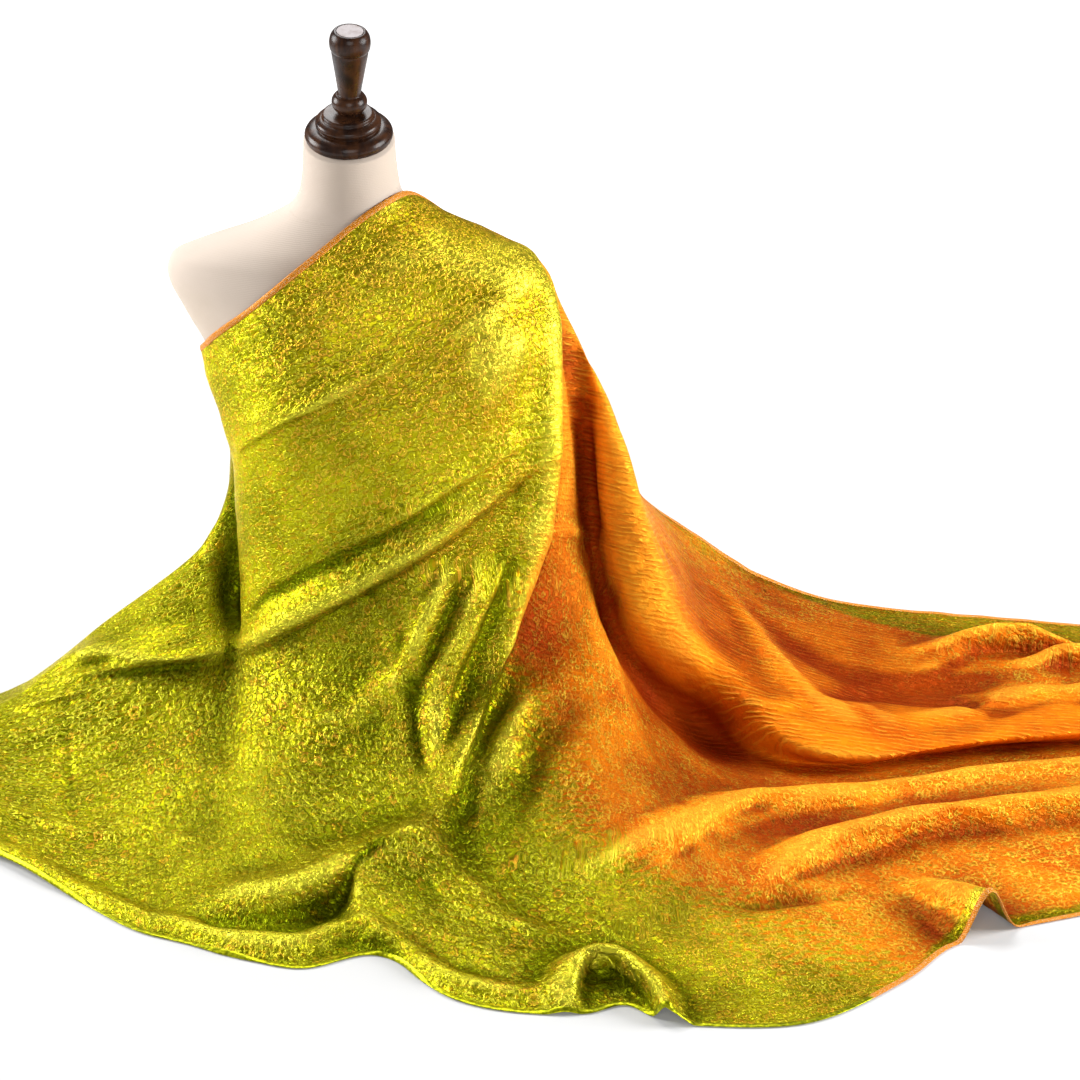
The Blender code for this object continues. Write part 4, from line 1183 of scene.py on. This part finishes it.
def overlock_material(settings):
    """The selvedge: slanting orange overlock thread with pale flecks, and lime along the hem."""
    made, tree, shader = new_material("overlock_thread")
    mm = flat_place(tree, "trim")
    lime = kept_value(tree, "lime")
    parts = put(tree, "ShaderNodeSeparateXYZ", {0: mm}).outputs
    slant = plus(tree, parts[0], times(tree, parts[1], STITCH_SLANT))
    stitch = soft_range(tree, calc(tree, "SINE", times(tree, slant, math.tau / STITCH_PITCH)), -0.5, 0.7)
    pale = soft_range(tree, noise(tree, mm, 0.75), 0.54, 0.62)
    thread = blended(tree, stitch, settings.trim_shade, settings.trim)
    thread = blended(tree, times(tree, pale, 0.5), thread, settings.trim_fleck)
    crinkles = noise(tree, mm, 0.22)
    hem = blended(tree, soft_range(tree, crinkles, 0.42, 0.60), settings.olive, settings.lime)
    wire(
        tree,
        shader,
        Base_Color=blended(tree, lime, thread, hem),
        Roughness=between(tree, lime, 0.55, 0.35),
        Metallic=between(tree, lime, 0.25, 0.85),
        Specular_IOR_Level=0.15,
        Normal=bumped(tree, between(tree, lime, stitch, crinkles), 0.0005),
    )
    return made


def patina_group():
    """Cloudy stains and smudges, for the jersey and for the wood."""
    group = bpy.data.node_groups.new("patina", "ShaderNodeTree")
    group.interface.new_socket("Vector", in_out="INPUT", socket_type="NodeSocketVector")
    for name, side in (("Scale", "INPUT"), ("Amount", "INPUT"), ("Mask", "OUTPUT")):
        group.interface.new_socket(name, in_out=side, socket_type="NodeSocketFloat")
    entry = put(group, "NodeGroupInput").outputs
    cloud = noise(group, entry["Vector"], entry["Scale"], detail=4.0)
    mask = times(group, soft_range(group, cloud, 0.45, 0.72), entry["Amount"])
    put(group, "NodeGroupOutput", {"Mask": mask})


def patina(tree, vector, scale, amount):
    """The mask of the stains, at this scale and of this strength."""
    inputs = {"Vector": vector, "Scale": scale, "Amount": amount}
    return put(tree, "ShaderNodeGroup", inputs, node_tree=bpy.data.node_groups["patina"]).outputs["Mask"]


def jersey_material(settings):
    """Cream cotton jersey: fine knit ribs, faint stains."""
    made, tree, shader = new_material("cream_jersey")
    at = own_place(tree)
    ribs = waves(tree, at, 190.0, "Z", distortion=1.5, detail=1.0)
    grain = noise(tree, at, 900.0)
    base = blended(tree, patina(tree, at, 9.0, 0.35), settings.jersey, settings.jersey_stain)
    base = blended(tree, times(tree, grain, 0.10), base, settings.jersey_stain)
    normal = bumped(tree, plus(tree, times(tree, ribs, 0.5), grain), 0.0004, Strength=0.35)
    wire(tree, shader, Base_Color=base, Roughness=0.82, Sheen_Weight=0.15, Normal=normal)
    return made


def wood_material(settings):
    """Walnut with rings of grain down the turned shape, under worn lacquer."""
    made, tree, shader = new_material("lacquered_walnut")
    at = own_place(tree)
    grain = noise(tree, scaled(tree, at, (60, 60, 9)), 1.0, detail=6.0, roughness=0.65, distortion=0.6)
    fibre = noise(tree, scaled(tree, at, (900, 900, 60)), 1.0)
    base = blended(tree, soft_range(tree, grain, 0.38, 0.62), settings.walnut_dark, settings.walnut)
    wire(
        tree,
        shader,
        Base_Color=blended(tree, times(tree, fibre, 0.35), base, settings.walnut_dark),
        Roughness=plus(tree, 0.27, times(tree, patina(tree, at, 60.0, 0.5), 0.2)),
        Coat_Weight=0.08,
        Coat_Roughness=0.15,
        Specular_IOR_Level=0.16,
        Normal=bumped(tree, fibre, 0.0002, Strength=0.25),
    )
    return made


def disc_material(settings):
    """The dull metal disc let into the top of the knob."""
    made, tree, shader = new_material("knob_disc")
    base = blended(tree, patina(tree, own_place(tree), 120.0, 0.6), settings.disc, settings.walnut)
    wire(tree, shader, Base_Color=base, Roughness=0.42, Metallic=0.2)
    return made


def floor_material(settings):
    """White paper that bounces light as such, but shows soft shadows to the camera."""
    made, tree, shader = new_material("pale_floor")
    at = own_place(tree)
    seen = put(tree, "ShaderNodeLightPath").outputs["Is Camera Ray"]
    paper = blended(tree, seen, settings.floor, settings.floor_seen)
    base = blended(tree, times(tree, noise(tree, at, 3.0), 0.02), paper, FLOOR_MOTTLE)
    away = put(tree, "ShaderNodeVectorMath", {0: at}, operation="LENGTH").outputs["Value"]
    glow = times(tree, seen, soft_range(tree, away, 1.0, 2.4, settings.floor_glow, 1.0))
    wire(tree, shader, Base_Color=base, Roughness=0.9, Specular_IOR_Level=0.0)
    wire(tree, shader, Emission_Color=WHITE, Emission_Strength=glow)
    return made


# ---- settings ----


def number_setting(name, description, default, **kind):
    """A setting for one number."""
    return FloatProperty(name=name, description=description, default=default, **kind)


def colour_setting(name, description, default):
    """A setting for one colour."""
    kind = {"size": 3, "min": 0.0, "max": 1.0, "subtype": "COLOR"}
    return FloatVectorProperty(name=name, description=description, default=default, **kind)


class BrocadeFormSettings(bpy.types.PropertyGroup):
    """Colours of the dress form and its wood"""

    jersey: colour_setting("Jersey", "Colour of the form's jersey cover", (0.51, 0.425, 0.353))
    jersey_stain: colour_setting("Jersey stain", "Colour of its faint stains", (0.41, 0.32, 0.25))
    walnut: colour_setting("Walnut", "Lighter colour of the wood", (0.056, 0.020, 0.007))
    walnut_dark: colour_setting("Dark walnut", "Darker colour of the wood", (0.014, 0.006, 0.004))
    disc: colour_setting("Disc", "Colour of the disc on the knob", (0.16, 0.132, 0.132))


class BrocadeClothSettings(bpy.types.PropertyGroup):
    """Sizes and colours of the brocade"""

    lime: colour_setting("Lime", "Lighter green of the ground", (0.45, 0.46, 0.006))
    olive: colour_setting("Olive", "Darker green of the ground", (0.22, 0.24, 0.002))
    # Bright lime colours the raised threads on green with a painted glint on them, and the painted highlight on green
    # crests. It is also the colour of the lime rings on orange
    bright_lime: colour_setting("Bright lime", "Raised threads on green", (0.82, 0.76, 0.06))
    amber: colour_setting("Amber", "Ground between the copper threads", (0.50, 0.24, 0.006))
    copper: colour_setting("Copper", "Threads of the second colour on green", (0.86, 0.32, 0.035))
    orange: colour_setting("Orange", "Lighter ground of the orange part", (0.92, 0.24, 0.004))
    rust: colour_setting("Rust", "Darker ground of the orange part", (0.64, 0.11, 0.002))
    # Gold colours the raised threads on orange with a painted glint on them, the painted highlight on orange crests
    # and the painted sheen on the pipe
    gold: colour_setting("Gold", "Raised threads on orange", (1.0, 0.49, 0.035))
    # Hollow darkens the holes in the rings in their own colour, and paints shade into the rims, grooves and furrows
    # on green
    hollow: colour_setting("Hollow", "Shade in the middle of each ring", (0.30, 0.22, 0.06))
    # Painted shade, multiplied into the hollows of the folds and creases on green and on orange. The orange one also
    # darkens the small hollows of the orange weave
    painted_shade_green: colour_setting("Deep green", "Shade of the deepest green", (0.34, 0.42, 0.10))
    painted_shade_red: colour_setting("Deep red", "Shade of the deepest orange", (0.33, 0.14, 0.15))
    trim: colour_setting("Trim", "Thread of the overlocked edge", (0.74, 0.29, 0.012))
    trim_shade: colour_setting("Trim shade", "Between the edge's stitches", (0.50, 0.14, 0.010))
    trim_fleck: colour_setting("Trim fleck", "Pale flecks on the edge", (0.85, 0.68, 0.42))
    ring_pitch: number_setting("Ring pitch", "Distance between rings", 0.0088, unit="LENGTH")
    large_ring_pitch: number_setting("Large ring pitch", "Distance between the large rings", 0.0135, unit="LENGTH")
    row_slant: number_setting("Row slant", "Turn of the rows of rings", math.radians(28), subtype="ANGLE")
    relief: number_setting("Relief", "Height of the raised threads", 0.0007, unit="LENGTH")
    swell: number_setting("Swell", "Depth of the soft swellings", 0.0016, unit="LENGTH")


class BrocadeStageSettings(bpy.types.PropertyGroup):
    """Camera, lights and floor"""

    distance: number_setting("Camera distance", "From the camera to its target", 3.0, unit="LENGTH")
    elevation: number_setting("Camera elevation", "Above level", math.radians(22), subtype="ANGLE")
    lens: number_setting("Lens", "Focal length in millimetres", 93.0)
    floor: colour_setting("Floor", "Colour of the floor", (0.80, 0.80, 0.80))
    floor_seen: colour_setting("Floor seen", "The floor's colour as the camera sees it", (0.53, 0.53, 0.53))
    floor_glow: number_setting("Floor glow", "Light the floor gives to the camera", 0.09)
    key_power: number_setting("Key light", "Power of the key light", 112.0, unit="POWER")
    fill_power: number_setting("Fill light", "Power of the fill light", 88.0, unit="POWER")
    top_power: number_setting("Top light", "Power of the top light", 56.0, unit="POWER")
    front_power: number_setting("Front light", "Power of the front light", 28.0, unit="POWER")
    sky: number_setting("Sky", "Brightness of the white room", 0.12)


# ---- operators ----


class BROCADE_OT_form(bpy.types.Operator):
    """Build the jersey covered form and its seams"""

    bl_idname = "brocade.form"
    bl_label = "Dress form"

    def execute(self, context):
        finish = jersey_material(context.scene.brocade_form)
        form = new_piece("form_body", form_mesh(), finish)
        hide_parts("bust_form")
        new_piece("form_seams", seams_mesh(), finish)
        return {"FINISHED"}


class BROCADE_OT_wood(bpy.types.Operator):
    """Build the turned neck cap, its knob and the knob's disc"""

    bl_idname = "brocade.wood"
    bl_label = "Neck cap and knob"

    def execute(self, context):
        settings = context.scene.brocade_form
        walnut = wood_material(settings)
        cap = new_piece("turned_cap", turned_mesh("turned_cap", CAP_PROFILE, 0), walnut)
        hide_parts("neck_cap")
        knob_mesh = turned_mesh("turned_knob", KNOB_PROFILE, KNOB_LEAN)
        knob = new_piece("turned_knob", knob_mesh, walnut)
        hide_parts("cap_knob")
        disc = turned_mesh("knob_disc", DISC_PROFILE, KNOB_LEAN)
        new_piece("knob_disc", disc, disc_material(settings))
        return {"FINISHED"}


class BROCADE_OT_cloth(bpy.types.Operator):
    """Drape the brocade over the form and stitch its overlocked edge"""

    bl_idname = "brocade.cloth"
    bl_label = "Draped brocade"

    def execute(self, context):
        settings = context.scene.brocade_cloth
        form = bpy.data.objects["form_body"].data
        tree = BVHTree.FromPolygons([v.co for v in form.vertices], [tuple(p.vertices) for p in form.polygons])
        points, flat = draped_cloth(tree)
        mesh = smooth_mesh("brocade_cloth", points.reshape(-1, 3), grid_faces(*points.shape[:2]))
        set_uv(mesh, "flat", flat.reshape(-1, 2))
        set_values(mesh, "tone", tone_of(flat))
        figure = figure_of()
        for i, name in enumerate(FIGURE_NAMES):
            set_values(mesh, name, figure[..., i])
        set_values(mesh, "slant", slant_of())
        # Painted shade goes into the hollows of the folds. The dips of the creases get painted shade in their hollows
        # and a painted highlight on their crests
        hollows = dips_of(points, HOLLOW_ROUNDS)
        set_values(mesh, "deep", np.interp(hollows, HOLLOW_SPAN, (0.0, 1.0)))
        set_values(mesh, "dip", dips_of(points, DIP_ROUNDS))
        cloth = new_piece("draped_brocade", mesh, brocade_material(settings))
        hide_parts("brocade_cloth")
        edge = new_piece("overlocked_edge", edge_mesh(points), overlock_material(settings))
        return {"FINISHED"}


class BROCADE_OT_stage(bpy.types.Operator):
    """Set the floor, the lights, the white room and the camera"""

    bl_idname = "brocade.stage"
    bl_label = "Stage"

    def execute(self, context):
        scene = context.scene
        settings = scene.brocade_stage
        corners = ((-1, -1), (1, -1), (1, 1), (-1, 1))
        floor_places = [(x * FLOOR_REACH, y * FLOOR_REACH, -FLOOR_DROP) for x, y in corners]
        floor = bpy.data.objects.new("floor", smooth_mesh("floor", floor_places, [(0, 1, 2, 3)]))
        floor.data.materials.append(floor_material(settings))
        scene.collection.objects.link(floor)
        target = Vector(CAMERA_TARGET)
        for name, place, size in LAMPS:
            lamp = bpy.data.lights.new(name, "AREA")
            lamp.shape = "DISK"
            lamp.size = size
            lamp.energy = getattr(settings, name + "_power")
            light = bpy.data.objects.new(name, lamp)
            light.location = place
            light.rotation_euler = (target - light.location).to_track_quat("-Z", "Y").to_euler()
            scene.collection.objects.link(light)
        world = bpy.data.worlds.new("white room")
        world.use_nodes = True
        tree = world.node_tree
        seen = put(tree, "ShaderNodeLightPath").outputs["Is Camera Ray"]
        wire(tree, tree.nodes["Background"], Color=WHITE, Strength=larger(tree, seen, settings.sky))
        scene.world = world
        camera = bpy.data.objects.new("camera", bpy.data.cameras.new("camera"))
        camera.data.sensor_width = SENSOR_WIDTH
        camera.data.lens = settings.lens
        back = Vector((0, -math.cos(settings.elevation), math.sin(settings.elevation)))
        camera.location = target + back * settings.distance
        camera.rotation_euler = (-back).to_track_quat("-Z", "Y").to_euler()
        scene.collection.objects.link(camera)
        scene.camera = camera
        scene.view_settings.view_transform = "Standard"
        return {"FINISHED"}


class BROCADE_PT_panel(bpy.types.Panel):
    """The pieces and their settings"""

    bl_idname = "BROCADE_PT_panel"
    bl_label = "Draped brocade"
    bl_space_type = "VIEW_3D"
    bl_region_type = "UI"
    bl_category = "Brocade"

    def draw(self, context):
        for group, operators in PANEL_ROWS:
            settings = getattr(context.scene, group)
            for name in settings.bl_rna.properties.keys():
                if name not in ("rna_type", "name"):
                    self.layout.prop(settings, name)
            for operator in operators:
                self.layout.operator(operator.bl_idname)


PANEL_ROWS = (
    ("brocade_form", (BROCADE_OT_form, BROCADE_OT_wood)),
    ("brocade_cloth", (BROCADE_OT_cloth,)),
    ("brocade_stage", (BROCADE_OT_stage,)),
)
SETTINGS = (
    ("brocade_form", BrocadeFormSettings),
    ("brocade_cloth", BrocadeClothSettings),
    ("brocade_stage", BrocadeStageSettings),
)
OPERATORS = (BROCADE_OT_form, BROCADE_OT_wood, BROCADE_OT_cloth, BROCADE_OT_stage)


def register():
    """Adds the settings, the operators and the panel."""
    for name, group in SETTINGS:
        bpy.utils.register_class(group)
        setattr(bpy.types.Scene, name, PointerProperty(type=group))
    for made in OPERATORS + (BROCADE_PT_panel,):
        bpy.utils.register_class(made)


def unregister():
    """Takes them away again."""
    for made in reversed(OPERATORS + (BROCADE_PT_panel,)):
        bpy.utils.unregister_class(made)
    for name, group in reversed(SETTINGS):
        delattr(bpy.types.Scene, name)
        bpy.utils.unregister_class(group)


def main():
    """Builds the part and its stage."""
    register()
    patina_group()
    bpy.ops.brocade.form()
    bpy.ops.brocade.wood()
    bpy.ops.brocade.cloth()
    bpy.ops.brocade.stage()


if __name__ == "__main__":
    main()
